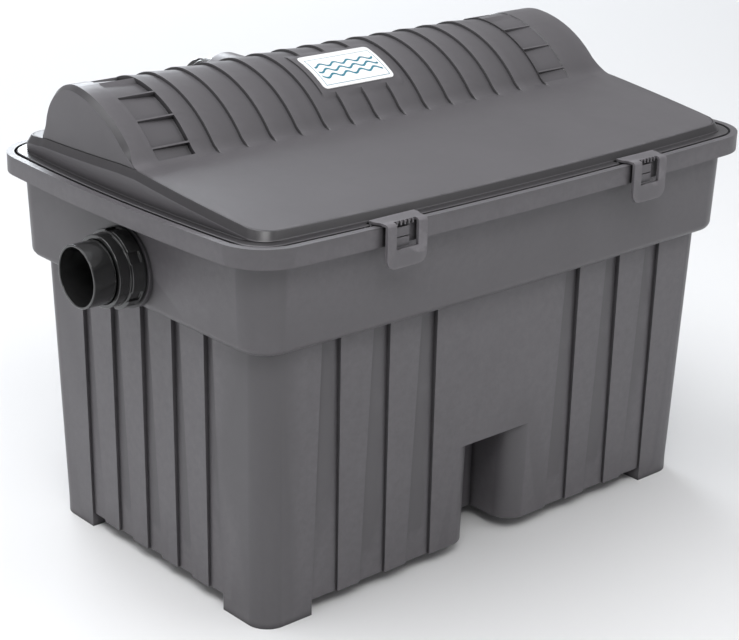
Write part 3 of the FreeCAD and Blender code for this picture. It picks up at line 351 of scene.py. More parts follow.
# CAD nodes by the width of the rounding on their edges, mm
EDGES = {0.2: ("drain_cap_seal", "clip_pin_left", "clip_pin_right"),
         0.3: ("outlet_gasket", "inlet_gasket", "drain_gasket", "hinge_pin_left",
               "hinge_pin_right", "bracket_screws"),
         0.4: ("spray_bar", "lid_gasket"),
         0.5: ("inlet_hose_tail", "drain_fitting"),
         0.6: ("outlet_spigot", "inlet_union_nut", "spray_bar_bracket_left",
               "spray_bar_bracket_right", "divider_plate"),
         0.7: ("tank", "outlet_union_nut", "support_grid_left", "support_grid_right",
               "drain_locknut", "drain_cap"),
         0.8: ("spray_bar_cap_left", "spray_bar_cap_right", "grid_feet")}
for width, names in EDGES.items():
    for name in names:
        soften(NODES[name], width)


# ---------------- lid

def smooth_step(value):
    value = np.clip(value, 0, 1)
    return value * value * (3 - 2 * value)


# the rim's base rectangle, how far its sides bow out, and the corner radii, mm
HALF_LONG, HALF_SHORT, BOW_LONG, BOW_SHORT = 272.5, 174.0, 8.5, 8.0
DECK_CORNER, LIP_CORNER = 20.0, 27.0


class Outline:
    """Rounded rectangle with bowed sides, inset from the rim's base rectangle, in mm."""

    def __init__(self, inset, corner=DECK_CORNER):
        half_x, half_y = HALF_LONG - inset, HALF_SHORT - inset
        self.corner = corner
        self.long_radius = (half_x ** 2 + BOW_LONG ** 2) / (2 * BOW_LONG)
        self.short_radius = (half_y ** 2 + BOW_SHORT ** 2) / (2 * BOW_SHORT)
        self.long_centre = half_y + BOW_LONG - self.long_radius
        self.short_centre = half_x + BOW_SHORT - self.short_radius
        x, y = half_x - corner, half_y - corner
        for _ in range(40):
            y = self.long_centre + math.sqrt((self.long_radius - corner) ** 2 - x ** 2)
            x = self.short_centre + math.sqrt((self.short_radius - corner) ** 2 - y ** 2)
        self.centre = (x, y)
        self.start = math.atan2(y, x - self.short_centre)
        self.end = math.atan2(y - self.long_centre, x)

    def long_y(self, x):
        return self.long_centre + math.sqrt(self.long_radius ** 2 - x ** 2)

    def short_x(self, y):
        return self.short_centre + math.sqrt(self.short_radius ** 2 - y ** 2)

    def corner_point(self, part):
        """Point of the corner arc, from part 0 at the long side to 1 at the short side."""
        angle = self.end + (self.start - self.end) * part
        return (self.centre[0] + self.corner * math.cos(angle),
                self.centre[1] + self.corner * math.sin(angle))

    def at(self, station):
        """Station ("long", x, side), ("short", y, side) or ("corner", part, sx, sy)."""
        kind, value = station[:2]
        if kind == "long":
            return value, station[2] * self.long_y(value)
        if kind == "short":
            return station[2] * self.short_x(value), value
        x, y = self.corner_point(value)
        return station[2] * x, station[3] * y


# mm from the tank's middle and above its rim, unless it says otherwise
DECK_FRONT, DECK_SLOPE = 4.6, 0.1089        # front deck: height at the edge, rise per mm
DECK_BACK, DECK_FALL = 15.5, 0.1            # rear deck: height at the hump, fall per mm
HUMP_Y, HUMP_Z, HUMP_R = 80.0, -41.8, 110.0     # front arc: centre and radius
BACK_R, FILLET_R, TILT = 50.0, 22.0, 0.1    # back arc, fillet to the deck, lean of the crest
END_FOOT = ((-17, 5.5, 118), (21.7, 21.8, 16.4))    # ledge under the end faces: y, height
INLET_X, INLET_Z = -70.0, 31.0              # axis of the inlet boss
TROUGH_R, TROUGH_Y = 24.0, 129.5            # trough under the union nut: radius, front end
DECK_INSET, WALL = 20.1, 3.0                # deck's edge inside the rim, wall thickness
HUMP_END = 246                              # half length of the hump's plain rows
LADDERS = ((-237.0, -203.0), (182.0, 214.5))    # the two ladder-like bands, along X
BARS, FIRST_BAR = (-48.0, -34.3, -19.3, -5.0), -55.0    # their bars in front, degrees
BACK_BARS, LAST_BAR = (26.0, 58.0), 73.0    # and behind
FILLET_PANEL = 21                           # lowest panel's reach into the fillet, degrees
STEPS = [-181.9 + 27.6 * k for k in range(13)]      # where one hoop ridge meets the next
STEP_DEPTH = 2.3                            # rise of a ridge
PAD = (-58.0, 30.0, 9.5, 58.5)              # plain field round the label: x, x, y, y


def hump_facts():
    """Centres and joins of the side view: deck, fillet, front arc, back arc, rear deck."""
    direction = np.array([1, DECK_SLOPE]) / math.hypot(1, DECK_SLOPE)
    normal = np.array([-direction[1], direction[0]])
    deck = np.array([-HALF_SHORT, DECK_FRONT])
    front = np.array([HUMP_Y, HUMP_Z])
    start = deck + normal * FILLET_R - front
    along = start @ direction
    travel = -along - math.sqrt(along ** 2 - start @ start + (HUMP_R + FILLET_R) ** 2)
    bend = deck + normal * FILLET_R + direction * travel
    to_hump = bend + (front - bend) / np.linalg.norm(front - bend) * FILLET_R
    back = front + np.array([-TILT, math.sqrt(1 - TILT ** 2)]) * (HUMP_R - BACK_R)
    return bend, bend - normal * FILLET_R, to_hump, front, back


BEND, TO_DECK, TO_HUMP, FRONT_C, BACK_C = hump_facts()
FOOT_Y = BACK_C[0] + math.sqrt(BACK_R ** 2 - (DECK_BACK - BACK_C[1]) ** 2)
CREST = -math.degrees(math.asin(TILT))


def deck_height(y):
    if y < 0:
        return DECK_FRONT + DECK_SLOPE * (y + HALF_SHORT)
    return DECK_BACK - DECK_FALL * (y - FOOT_Y)


def foot_height(y):
    """Height of the ledge at the foot of the hump's end faces."""
    places, heights = END_FOOT
    if y >= FOOT_Y or y < places[0]:
        return deck_height(y)
    return float(np.interp(y, (*places, FOOT_Y), (*heights, DECK_BACK)))


def trough_height(x, y):
    """Floor of the round trough in the rear deck under the union nut."""
    reach = TROUGH_R ** 2 - (x - INLET_X) ** 2
    return INLET_Z - math.sqrt(reach) if reach > 0 and y > TROUGH_Y else math.inf


def hump_rows():
    """Rows over the hump: (y, z, normal, ladder part, ridge strength)."""
    rows = []

    def add(point, angle, ladder, ridge):
        a = math.radians(angle)
        rows.append((point[0], point[1], (math.sin(a), math.cos(a)), ladder, ridge))

    def on_arc(centre, radius, angle):
        a = math.radians(angle)
        return centre + radius * np.array([math.sin(a), math.cos(a)])

    def bar_edges(bar, top, foot):
        return [bar - foot, bar - top, bar + top, bar + foot]

    flat = -math.degrees(math.atan(DECK_SLOPE))
    low = math.degrees(math.atan2(TO_HUMP[0] - FRONT_C[0], TO_HUMP[1] - FRONT_C[1]))
    panel = low + FILLET_PANEL
    for angle in sorted([*np.linspace(flat, low, 9), panel + 1, panel - 1], reverse=True):
        add(on_arc(BEND, -FILLET_R, angle), angle, 1 if angle < panel else 0,
            float(smooth_step((flat - angle - 1) / 26)))

    first = (FIRST_BAR - 0.3, FIRST_BAR + 0.2)
    angles = [a for a in set(np.round(np.linspace(low, CREST, 24), 3))
              if all(abs(a - bar) > 1.1 for bar in BARS + (FIRST_BAR,))]
    angles += first
    for bar in BARS:
        angles += bar_edges(bar, 0.4, 0.66)
    for angle in sorted(a for a in angles if low + 0.3 < a <= CREST):
        on_bar = any(abs(angle - bar) < 0.5 for bar in BARS)
        add(on_arc(FRONT_C, HUMP_R, angle), angle,
            0 if on_bar or angle < FIRST_BAR else 1, 1.0)

    end = math.degrees(math.acos((DECK_BACK - BACK_C[1]) / BACK_R))
    angles = [a for a in np.linspace(CREST + 2.2, end, 26)
              if all(abs(a - bar) > 2.2 for bar in BACK_BARS + (LAST_BAR,))]
    for bar in BACK_BARS:
        angles += bar_edges(bar, 0.85, 1.5)
    angles += [LAST_BAR - 0.6, LAST_BAR + 0.4, CREST + 0.9]
    for angle in sorted(angles):
        on_bar = any(abs(angle - bar) < 1 for bar in BACK_BARS) or angle < CREST + 1.2
        add(on_arc(BACK_C, BACK_R, angle), angle, 0 if on_bar or angle > LAST_BAR else 1,
            float(smooth_step((end - 4 - angle) / 14)))
    return rows


def hump_columns():
    """X stations over the hump, without the two edge columns that follow the outline."""
    xs = [-HUMP_END, -241.5, -237.4, -236.9]
    for low, high in LADDERS:
        xs += [low + 0.1, low + 1.1] + list(np.linspace(low + 5, high - 6, 4))
        xs += [high - 1.0, high - 0.5, high - 0.1, high + 0.4]
    for step in STEPS + [LADDERS[1][0]]:
        xs += [step - 1.0, step - 0.5, step - 0.1, step + 0.4, step + 9, step + 18]
    xs += [-196, -189, 160, 170, 222, 229, 236, 241, HUMP_END]
    xs += [PAD[0] - 0.3, PAD[0] + 0.3, PAD[1] - 0.3, PAD[1] + 0.3]
    xs += [INLET_X + dx for dx in (-17.4, -16.9, -14, -10, -5, 0, 5, 10, 14, 16.9, 17.4)]
    xs = sorted(set(round(float(x), 2) for x in xs))
    kept = [xs[0]]
    for x in xs[1:]:
        if x - kept[-1] > 0.24:
            kept.append(x)
    return kept


def sunk(x, y, ladder, ridge):
    """Depth of the hump's skin below its plain arc.

    Panels of the left band deepen to the right and those of the right band to the left;
    each hoop ridge deepens from its left edge and ends in a steep step at its right."""
    for low, high in LADDERS:
        if low <= x <= high:
            across = (x - low) / (high - low)
            ramp = 1.3 + 2.4 * across if x < 0 else 2.4 - 1.6 * across
            wall = np.interp(high - x, (0, 0.1, 0.5, 1.0), (0, 0.35, 0.93, 1))
            wall *= np.interp(x - low, (0, 0.1, 1.1), (0, 0.1, 1))
            return ladder * ramp * wall * min(1, ridge * 1.6)
    edges = [LADDERS[0][1]] + STEPS + [LADDERS[1][0]]
    if x <= edges[0] or x >= edges[-1]:
        return 0.0
    if PAD[0] < x < PAD[1] and PAD[2] < y < PAD[3]:
        return 0.0
    index = max(i for i, edge in enumerate(edges) if x > edge)
    near, far = edges[index], edges[index + 1]
    ramp = STEP_DEPTH * max(0, x - near - 0.4) / (far - near)
    wall = np.interp(far - x, (0, 0.1, 0.5, 1.0), (0, 0.3, 0.92, 1))
    return ridge * ramp * wall


FAR = math.inf
# rings outside the outer skin's grid, down to the lip: inset, drop below the ledge, further
# drop along the hump's end faces, and least height; then the same for the inner skin
OUTER_RINGS = ((20.35, 0, -0.5), (20.2, 0, 0.7), (19.75, 0, 0.7), (19.6, 0, 0.05),
               (19.15, 0.5), (16.75, 6.0, 0, 1.0), (16.5, 6.6, 0, 0.6),
               (16.4, FAR, 0, 0.35), (16.0, FAR, 0, 0.0), (9.5, FAR, 0, 0.0),
               (9.0, FAR, 0, -0.5))
INNER_RINGS = ((20.0 + WALL, WALL + 0.4), (16.6 + WALL, 8.5, 0, -1.5),
               (16.4 + WALL, FAR, 0, -3.0), (9.5, FAR, 0, -3.0), (9.0, FAR, 0, -2.6))
BROWS = ((20.8, 3.7), (20.6, 4.2))      # rings over the end faces: inset, drop below the arc
# levels, brows included, that take the darker plastic as painted shade: the grooves round the
# end faces, and the deck's chamfer with the shelf of the lip below it
GROOVES, CHAMFERS = (0, 3, 4), (6, 7, 10, 11)
EDGE = 1            # index of the darker plastic that paints shade, among the lid's materials
STRAIGHT = 232      # columns beyond it end on a corner arc
CORNER_PARTS = (0.5, 0.6, 0.7, 0.8, 0.9)        # rows that end on a corner arc, from its middle
FRONT_ROWS = (-128.0, -110.0, -90.0, -70.0, -54.0, -44.0)
BACK_ROWS = (127.0, 129.4, 130.0, 133.0)


class LidSkin:
    """One skin of the lid: a grid over the decks and hump, inside closed rings.

    wall is how far the skin is sunk; a place in the grid is (row, column)."""

    def __init__(self, wall):
        self.wall = wall
        # how far the end faces lean in, and how much deeper the skin lies under the hump
        self.lean, self.deepen = (1.5, 2.8) if wall else (4.6, 0.0)
        self.edge = Outline(DECK_INSET + wall)
        self.columns = hump_columns()
        hump = hump_rows()
        self.side = ([("corner", part, -1) for part in CORNER_PARTS]
                     + [("short", y) for y in FRONT_ROWS if y < TO_DECK[0] - 3]
                     + [("hump", row) for row in hump] + [("short", y) for y in BACK_ROWS]
                     + [("corner", part, 1) for part in CORNER_PARTS[::-1]])
        self.side_y = [self.edge.at(self.side_station(i, 1))[1]
                       for i in range(len(self.side))]
        kinds = [entry[0] for entry in self.side]
        self.first_hump = kinds.index("hump")
        self.last_flat = max(i for i, kind in enumerate(kinds) if kind != "corner")
        self.hump_of = {self.first_hump + i: row for i, row in enumerate(hump)}
        self.fronts, self.backs = self.long_stations(-1), self.long_stations(1)
        self.end_row, self.end_column = len(self.side) - 1, len(self.columns) + 1
        self.loop = [(0, j) for j in range(self.end_column)]
        self.loop += [(i, self.end_column) for i in range(self.end_row)]
        self.loop += [(self.end_row, j) for j in range(self.end_column, 0, -1)]
        self.loop += [(i, 0) for i in range(self.end_row, 0, -1)]

    def long_stations(self, sign):
        """Outline stations of the first row (sign -1) or the last one (sign 1)."""
        left = sum(x < -STRAIGHT for x in self.columns)
        right = sum(x > STRAIGHT for x in self.columns)
        return ([("corner", part, -1, sign) for part in np.linspace(0.5, 0, left + 2)[:-1]]
                + [("long", x, sign) for x in self.columns if -STRAIGHT <= x <= STRAIGHT]
                + [("corner", part, 1, sign) for part in np.linspace(0, 0.5, right + 2)[1:]])

    def side_station(self, index, sign):
        entry = self.side[index]
        if entry[0] == "corner":
            return ("corner", entry[1], sign, entry[2])
        return ("short", entry[1][0] if entry[0] == "hump" else entry[1], sign)

    def rise(self, index):
        """0 on the decks, 1 where the hump's end face is tall."""
        if index not in self.hump_of:
            return 0.0
        y, z = self.hump_of[index][:2]
        return float(smooth_step((z - foot_height(y)) / 14))

    def row_points(self, index):
        """Points of a row over the hump; the columns near its ends move with them."""
        y = self.side_y[index]
        reach = Outline(DECK_INSET + self.wall + self.lean * self.rise(index)).short_x(y)
        scale = min(1.0, (reach - 3) / HUMP_END)
        return ([(-reach, y)] + [(x * (scale if abs(x) > 240 else 1), y) for x in self.columns]
                + [(reach, y)])

    def blend_deck(self, grid, low, high, near, far):
        """Fill the rows of a deck between its four edges."""
        for i in range(low, high + 1):
            ends = [self.edge.at(self.side_station(i, sign)) for sign in (-1, 1)]
            if i == self.first_hump:
                ends = [far[0], far[-1]]
            if i == self.last_flat:
                ends = [near[0], near[-1]]
            v = (self.side_y[i] - self.side_y[low]) / (self.side_y[high] - self.side_y[low])
            line = [[(1 - v) * a + v * b for a, b in zip(*pair)] for pair in zip(near, far)]
            for j in range(self.end_column + 1):
                u = j / self.end_column
                grid[i, j, :2] = [line[j][k] + (1 - u) * (ends[0][k] - line[0][k])
                                  + u * (ends[1][k] - line[-1][k]) for k in (0, 1)]

    def grid(self):
        """Points of the grid, in mm."""
        grid = np.zeros((self.end_row + 1, self.end_column + 1, 3))
        front, back = ([self.edge.at(station) for station in stations]
                       for stations in (self.fronts, self.backs))
        self.blend_deck(grid, 0, self.first_hump, front, self.row_points(self.first_hump))
        self.blend_deck(grid, self.last_flat, self.end_row, self.row_points(self.last_flat),
                        back)
        for i in range(self.first_hump + 1, self.last_flat):
            grid[i, :, :2] = self.row_points(i)
        for i, j in np.ndindex(grid.shape[:2]):
            x, y = grid[i, j, :2]
            if i not in self.hump_of:
                grid[i, j, 2] = min(deck_height(y), trough_height(x, y)) - self.wall
                continue
            row_y, row_z, normal, ladder, ridge = self.hump_of[i]
            if self.wall:
                depth = self.wall + self.deepen * self.rise(i)
            else:
                depth = sunk(x, y, ladder, ridge) if 0 < j < self.end_column else 0
            grid[i, j, 1:] = row_y - normal[0] * depth, row_z - normal[1] * depth
        return grid

    def ring(self, inset, drop, groove=0, least=-FAR):
        """Ring round the grid that follows the ledge, and how far below it."""
        outline = Outline(inset, DECK_CORNER if inset > 16 else LIP_CORNER)
        points = []
        for place in self.loop:
            x, y = outline.at(self.station(*place))
            ledge = min(foot_height(y), trough_height(x, y))
            points.append((x, y, max(least, ledge - drop - groove * self.rise(place[0]))))
        return points

    def brow(self, inset, drop):
        """Ring that follows the hump's arcs over its end faces, pulled toward their centre."""
        points = self.ring(inset, 0)
        for k, (i, _) in enumerate(self.loop):
            if i in self.hump_of:
                row_y, row_z, normal = self.hump_of[i][:3]
                x, y, _ = points[k]
                sink = drop * self.rise(i)
                points[k] = (x, row_y - normal[0] * sink,
                             max(row_z - sink * normal[1], foot_height(y)))
        return points

    def station(self, i, j):
        if i == 0:
            return self.fronts[j]
        if i == self.end_row:
            return self.backs[j]
        return self.side_station(i, -1 if j == 0 else 1)

    def rings(self):
        if self.wall:
            return [self.ring(*ring) for ring in INNER_RINGS]
        return [self.brow(*brow) for brow in BROWS] + [self.ring(*ring) for ring in OUTER_RINGS]

    def is_step(self, grid, i, j):
        """Whether the grid's face at (i, j) is a steep step of a ridge or a panel."""
        width, *offset = grid[i, j + 1] - grid[i, j]
        return (not self.wall and i in self.hump_of and 0 < j < self.end_column - 1
                and width < 0.7 and math.hypot(*offset) > 0.25)

    def add_to(self, mesh):
        """Add the skin's faces; returns the vertices of its last ring, at the lip's edge."""
        grid = self.grid()
        verts = [[mesh.verts.new(placed(*point)) for point in row] for row in grid]
        for i, j in np.ndindex(self.end_row, self.end_column):
            face = mesh.faces.new((verts[i][j], verts[i][j + 1], verts[i + 1][j + 1],
                                   verts[i + 1][j]))
            # the steps' walls take the darker plastic: painted shade
            if self.is_step(grid, i, j):
                face.material_index = EDGE
        above = [verts[i][j] for i, j in self.loop]
        for level, points in enumerate(self.rings()):
            below = [mesh.verts.new(placed(*point)) for point in points]
            for k, (i, _) in enumerate(self.loop):
                n = (k + 1) % len(self.loop)
                face = mesh.faces.new((above[k], below[k], below[n], above[n]))
                # painted shade: the chamfer, the lip's shelf and the grooves round the end
                # faces take the darker plastic
                dark = level in CHAMFERS or (level in GROOVES and self.rise(i) > 0.02)
                if dark and not self.wall:
                    face.material_index = EDGE
            above = below
        return above


def lid_mesh():
    """The lid's outer and inner skins, joined at the lip."""
    mesh = bmesh.new()
    outer = LidSkin(0).add_to(mesh)
    inner = LidSkin(WALL).add_to(mesh)
    n = len(outer)
    for k in range(n):
        mesh.faces.new((outer[k], inner[k], inner[(k + 1) % n], outer[(k + 1) % n]))
    bmesh.ops.remove_doubles(mesh, verts=mesh.verts, dist=2e-6)
    bmesh.ops.recalc_face_normals(mesh, faces=mesh.faces)
    return mesh


def lid_fittings():
    """Inlet boss, seats for the spray bar's brackets, and hinge barrels with their arms."""
    mesh = bmesh.new()
    add_lathe(mesh, [(28.5, 92), (28.5, 128.2), (28.2, 129.2), (27.6, 129.8), (26.8, 130),
                     (19.4, 130), (18.8, 130.2), (18.5, 130.8), (18.5, 137.4), (18.0, 138),
                     (14.7, 138), (14.1, 137.4), (14.1, 127), (25.5, 127), (25.5, 92)],
              (INLET_X, 0, INLET_Z), (0, 1, 0), 96)
    for centre in (10, 180):
        add_prism(mesh, round_section([(52, 49.7), (104, 49.7), (104, 54.5), (92, 60),
                                       (74, 62.6), (52, 60.5)], 1.0),
                  centre - 8, centre + 8)
    for side in (-150, 150):
        add_lathe(mesh, [(4, -12.1), (4, 12.1), (3.6, 12.5), (2.3, 12.5), (2.04, 12.2),
                         (2.04, -12.2), (2.3, -12.5), (3.6, -12.5)],
                  (side, 182.2, 5.5), (1, 0, 0), 32)
        add_prism(mesh, round_section([(158.5, 3.5), (179.6, 3.5), (179.6, 7.5),
                                       (158.5, 7.5)], 0.8), side - 12.5, side + 12.5)
    bmesh.ops.recalc_face_normals(mesh, faces=mesh.faces)
    return mesh


# a darker copy of the lid plastic that paints shade on the steps' walls, the grooves, the
# chamfer and the lip's shelf
PAINTED_SHADE_PLASTIC = moulded_plastic("painted_shade_plastic", shade(GREY, 0.42), rough=0.30, grain=0.1)
CLIPS = {"left": -142, "right": 125}        # middle of each clip along X

lid_shell = finish_piece("lid_shell", lid_mesh(), [SLOTS["lid_plastic"], PAINTED_SHADE_PLASTIC],
                         "lid", "lid_plastic", "lid")
# the lip is cut away round each clip
pockets = bmesh.new()
for centre in CLIPS.values():
    add_box(pockets, (centre - 22.6, -190, -4), (centre + 22.6, -164.6, 0.3))
cut_away(lid_shell, pockets)
even_normals(lid_shell)
lid_parts = finish_piece("lid_fittings", lid_fittings(), [SLOTS["lid_plastic"]], "lid",
                         "lid_plastic", "lid")
even_normals(lid_parts)


# ---------------- clips

def clip_mesh(centre):
    """Bent clip: shouldered plate over the rim, windowed front, five teeth, barrel."""
    y_root, z_top, z_low = -167.7, 325.2 - RIM, 290.5 - RIM
    y_front, bend, window_y, window_z = -186.2, 3.0, -181.5, 305 - RIM
    half, top_thick, front_thick, corner = 19.5, 2.2, 3.0, 8
    # stations along the clip: outer point, inner point, half width
    rows = []
    for y, reach in ((y_root, 22), (-170, 22), (-172.5, 21.9), (-174.5, 21.3),
                     (-176.2, 20.3), (-178, 19.7), (-180, half), (window_y, half),
                     (-183.2, half)):
        rows.append(((y, z_top), (y, z_top - top_thick), reach))
    for a in (22.5, 45, 67.5, 90):
        r = math.radians(a)
        rows.append(((y_front + bend * (1 - math.sin(r)), z_top - bend * (1 - math.cos(r))),
                     (y_front + front_thick, z_top - top_thick - 0.8 * a / 90), half))
    for z in (318 - RIM, 312 - RIM, window_z, 301 - RIM, 298.5 - RIM):
        rows.append(((y_front, z), (y_front + front_thick, z), half))
    for a in (15, 30, 45, 60, 75, 90):
        r = math.radians(a)
        z = z_low + corner * (1 - math.sin(r))
        rows.append(((y_front, z), (y_front + front_thick, z),
                     half - corner * (1 - math.cos(r))))
    top = next(i for i, row in enumerate(rows) if row[0][0] == window_y)
    low = next(i for i, row in enumerate(rows) if row[0][1] == window_z)
    mesh = bmesh.new()
    skins = []
    for side in (0, 1):
        skin = []
        for row in rows:
            xs = [-row[2], -10.7, -5.4, 0, 5.4, 10.7, row[2]]
            skin.append([mesh.verts.new(placed(centre + x, *row[side])) for x in xs])
        skins.append(skin)
    count = len(rows)

    def is_open(i, j):
        return top <= i < low and 1 <= j < 5

    for i in range(count - 1):
        for j in range(6):
            if is_open(i, j):
                continue
            for skin in skins:
                mesh.faces.new((skin[i][j], skin[i][j + 1], skin[i + 1][j + 1],
                                skin[i + 1][j]))
    walls = [((i, 0), (i + 1, 0)) for i in range(count - 1)]
    walls += [((i, 6), (i + 1, 6)) for i in range(count - 1)]
    walls += [((i, j), (i, j + 1)) for i in (0, count - 1) for j in range(6)]
    walls += [((i, j), (i + 1, j)) for i in range(top, low) for j in (1, 5)]
    walls += [((i, j), (i, j + 1)) for i in (top, low) for j in range(1, 5)]
    for (a, b), (c, d) in walls:
        mesh.faces.new((skins[0][a][b], skins[0][c][d], skins[1][c][d], skins[1][a][b]))
    for k in range(5):
        x = centre + 3.9 * (k - 2)
        add_prism(mesh, round_section([(-183.0, 321.7 - RIM), (-181.2, 321.7 - RIM),
                                       (-181.2, 325.0 - RIM), (-182.7, 325.0 - RIM)], 0.4),
                  x - 0.65, x + 0.65)
    add_lathe(mesh, [(2, -21.8), (2, 21.8), (1.8, 22), (1.3, 22), (1.13, 21.8),
                     (1.13, -21.8), (1.3, -22), (1.8, -22)],
              (centre, -169, 321 - RIM), (1, 0, 0), 28)
    add_prism(mesh, [(-170.6, 321.6 - RIM), (-169.2, 322.4 - RIM), (-167.6, 322.4 - RIM),
                     (-167.4, 323.2 - RIM), (-170.6, 323.2 - RIM)], centre - 21.8,
              centre + 21.8)
    bmesh.ops.recalc_face_normals(mesh, faces=mesh.faces)
    return mesh


# a lighter copy of the lid plastic: painted light on the clips, whose corners also get a paler
# painted shade
LIT_CLIP_PLASTIC = moulded_plastic("lit_clip_plastic", shade(GREY, 1.18), rough=0.33, wear=0.5,
                               darkest_painted_shade=0.2)
for side, centre in CLIPS.items():
    clip = finish_piece(f"clip_{side}_bent", clip_mesh(centre), [LIT_CLIP_PLASTIC],
                        f"clip_{side}", "lid_plastic", f"clip_{side}")
    add_bevel(clip, 0.5, 50)
    clip.data.shade_smooth()


# ---------------- label

def label_material():
    """Glossy white film with a thin border and three waves; no lettering."""
    material, look, shader = new_material("label_white")
    place = look.add("SeparateXYZ", {0: look.add("UVMap", {})["UV"]})
    # distance outside the border line, a rectangle round the label's middle, in mm
    middle, half_border, half_line, gap = (38.5, 20.0), (34.6, 16.4), 0.28, 2.4
    away = [look.math("SUBTRACT", look.math("ABSOLUTE", look.math(
        "SUBTRACT", place[axis], middle[axis])), half_border[axis]) for axis in (0, 1)]
    inside = look.math("MAXIMUM", *away)
    border = look.math("COMPARE", inside, 0.0, half_line)
    field = look.math("LESS_THAN", inside, -gap)
    waves = None
    for row, height in enumerate((13.0, 20.0, 27.0)):
        phase = look.math("ADD", look.math("MULTIPLY", place[0], 0.42), 0.9 * row)
        swing = look.math("MULTIPLY", look.math("SINE", phase), 1.9)
        offset = look.math("SUBTRACT", look.math("SUBTRACT", place[1], height), swing)
        line = look.math("LESS_THAN", look.math("ABSOLUTE", offset), 1.15)
        waves = line if waves is None else look.math("MAXIMUM", waves, line)
    print_area = look.math("MAXIMUM", border, look.math("MULTIPLY", waves, field))
    mottle = look.noise(look.coords(), 60, 3)
    ink = look.ramp(mottle, [(0.3, (0.02, 0.17, 0.24)), (0.7, (0.03, 0.21, 0.29))])
    paper = look.ramp(mottle, [(0.3, (0.84,) * 3), (0.7, (0.90,) * 3)])
    look.feed(shader, {"Base Color": look.mix(paper, ink, print_area),
                       "Normal": look.bump(mottle, 0.05, 0.0002), "Roughness": 0.16,
                       "Coat Weight": 0.5, "Coat Roughness": 0.05})
    return material


def label_plate():
    """Thin plate with rounded corners that follows the hump's front arc."""
    x0, x1, y0, y1, radius = -52.7, 24.2, 14.7, 53.8, 4.0
    angle0 = math.asin((y0 - HUMP_Y) / HUMP_R)
    length = (math.asin((y1 - HUMP_Y) / HUMP_R) - angle0) * HUMP_R
    width = x1 - x0
    mesh = bmesh.new()
    uv = mesh.loops.layers.uv.new("print")
    rows = [0, 0.3, 0.8, 1.5, 2.5, radius] + list(np.linspace(radius, length - radius, 14)[1:])
    rows += [length - r for r in (2.5, 1.5, 0.8, 0.3, 0)]
    layers = []
    for lift, trim in ((0.02, 0), (0.5, 0), (0.72, 0.12), (0.8, 0.4)):
        layer = []
        for s in rows:
            into = radius - min(s, length - s, radius)
            pull = radius - math.sqrt(max(0, radius ** 2 - into ** 2)) + trim
            line = []
            for t in np.linspace(0, 1, 9):
                u = pull + (width - 2 * pull) * t
                v = trim + (length - 2 * trim) * s / length
                a = angle0 + v / HUMP_R
                r = HUMP_R + lift
                line.append((mesh.verts.new(placed(x0 + u, HUMP_Y + r * math.sin(a),
                                                   HUMP_Z + r * math.cos(a))), u, v))
            layer.append(line)
        layers.append(layer)

    def face(corners):
        made = mesh.faces.new([c[0] for c in corners])
        for loop, corner in zip(made.loops, corners):
            loop[uv].uv = (corner[1], corner[2])

    def rim(layer):
        return (layer[0] + [line[-1] for line in layer[1:]] + layer[-1][-2::-1]
                + [line[0] for line in layer[-2:0:-1]])

    for layer in (layers[0], layers[-1]):
        for i in range(len(rows) - 1):
            for j in range(8):
                face([layer[i][j], layer[i][j + 1], layer[i + 1][j + 1], layer[i + 1][j]])
    for low, high in zip(layers, layers[1:]):
        a, b = rim(low), rim(high)
        for k in range(len(a)):
            n = (k + 1) % len(a)
            face([a[k], a[n], b[n], b[k]])
    bmesh.ops.recalc_face_normals(mesh, faces=mesh.faces)
    return mesh


label = finish_piece("label_film", label_plate(), [label_material()], "lid", "label_white",
                     "label")
even_normals(label, 50)


# ---------------- filter media

def foam_mat(node, slot, seed):
    """Cut foam mat: rounded corners and a gently uneven surface inside the node's box."""
    low, high = (np.array(corner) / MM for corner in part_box(node))
    radius, inset, unevenness = 3.5, 0.5, 0.45
    stations = []
    for a, b, count in zip(low, high, (44, 34, 6)):
        near = [a, a + 0.5, a + 1.5, a + radius]
        middle = list(np.linspace(a + radius, b - radius, count)[1:-1])
        stations.append(near + middle + [b - radius, b - 1.5, b - 0.5, b])
    rng = np.random.default_rng(seed)
    waves = [(rng.normal(size=3) * f, rng.uniform(0, 6.28), w)
             for f, w in ((0.02, 0.5), (0.05, 0.35), (0.13, 0.2), (0.3, 0.12))
             for _ in range(3)]
    mesh = bmesh.new()
    made = {}

    def vertex(i, j, k):
        if (i, j, k) not in made:
            p = np.array([stations[0][i], stations[1][j], stations[2][k]])
            q = np.clip(p, low + radius, high - radius)
            out = (p - q) / np.linalg.norm(p - q)
            swell = sum(w * math.sin(d @ p + a) for d, a, w in waves) / 3
            reach = radius - inset + unevenness * swell
            made[i, j, k] = mesh.verts.new((q + out * reach) * MM)
        return made[i, j, k]

    counts = [len(line) - 1 for line in stations]
    for axis in range(3):
        u, v = (axis + 1) % 3, (axis + 2) % 3
        for level in (0, counts[axis]):
            for i in range(counts[u]):
                for j in range(counts[v]):
                    corners = []
                    for a, b in ((i, j), (i + 1, j), (i + 1, j + 1), (i, j + 1)):
                        index = [0, 0, 0]
                        index[axis], index[u], index[v] = level, a, b
                        corners.append(vertex(*index))
                    mesh.faces.new(corners)
    bmesh.ops.recalc_face_normals(mesh, faces=mesh.faces)
    mat = finish_piece(f"{node}_mat", mesh, [SLOTS[slot]], "tank", slot, node)
    mat.data.shade_smooth()


foam_mat("foam_fine", "foam_grey", 3)
foam_mat("foam_medium", "foam_green", 5)
foam_mat("foam_coarse", "foam_blue", 8)


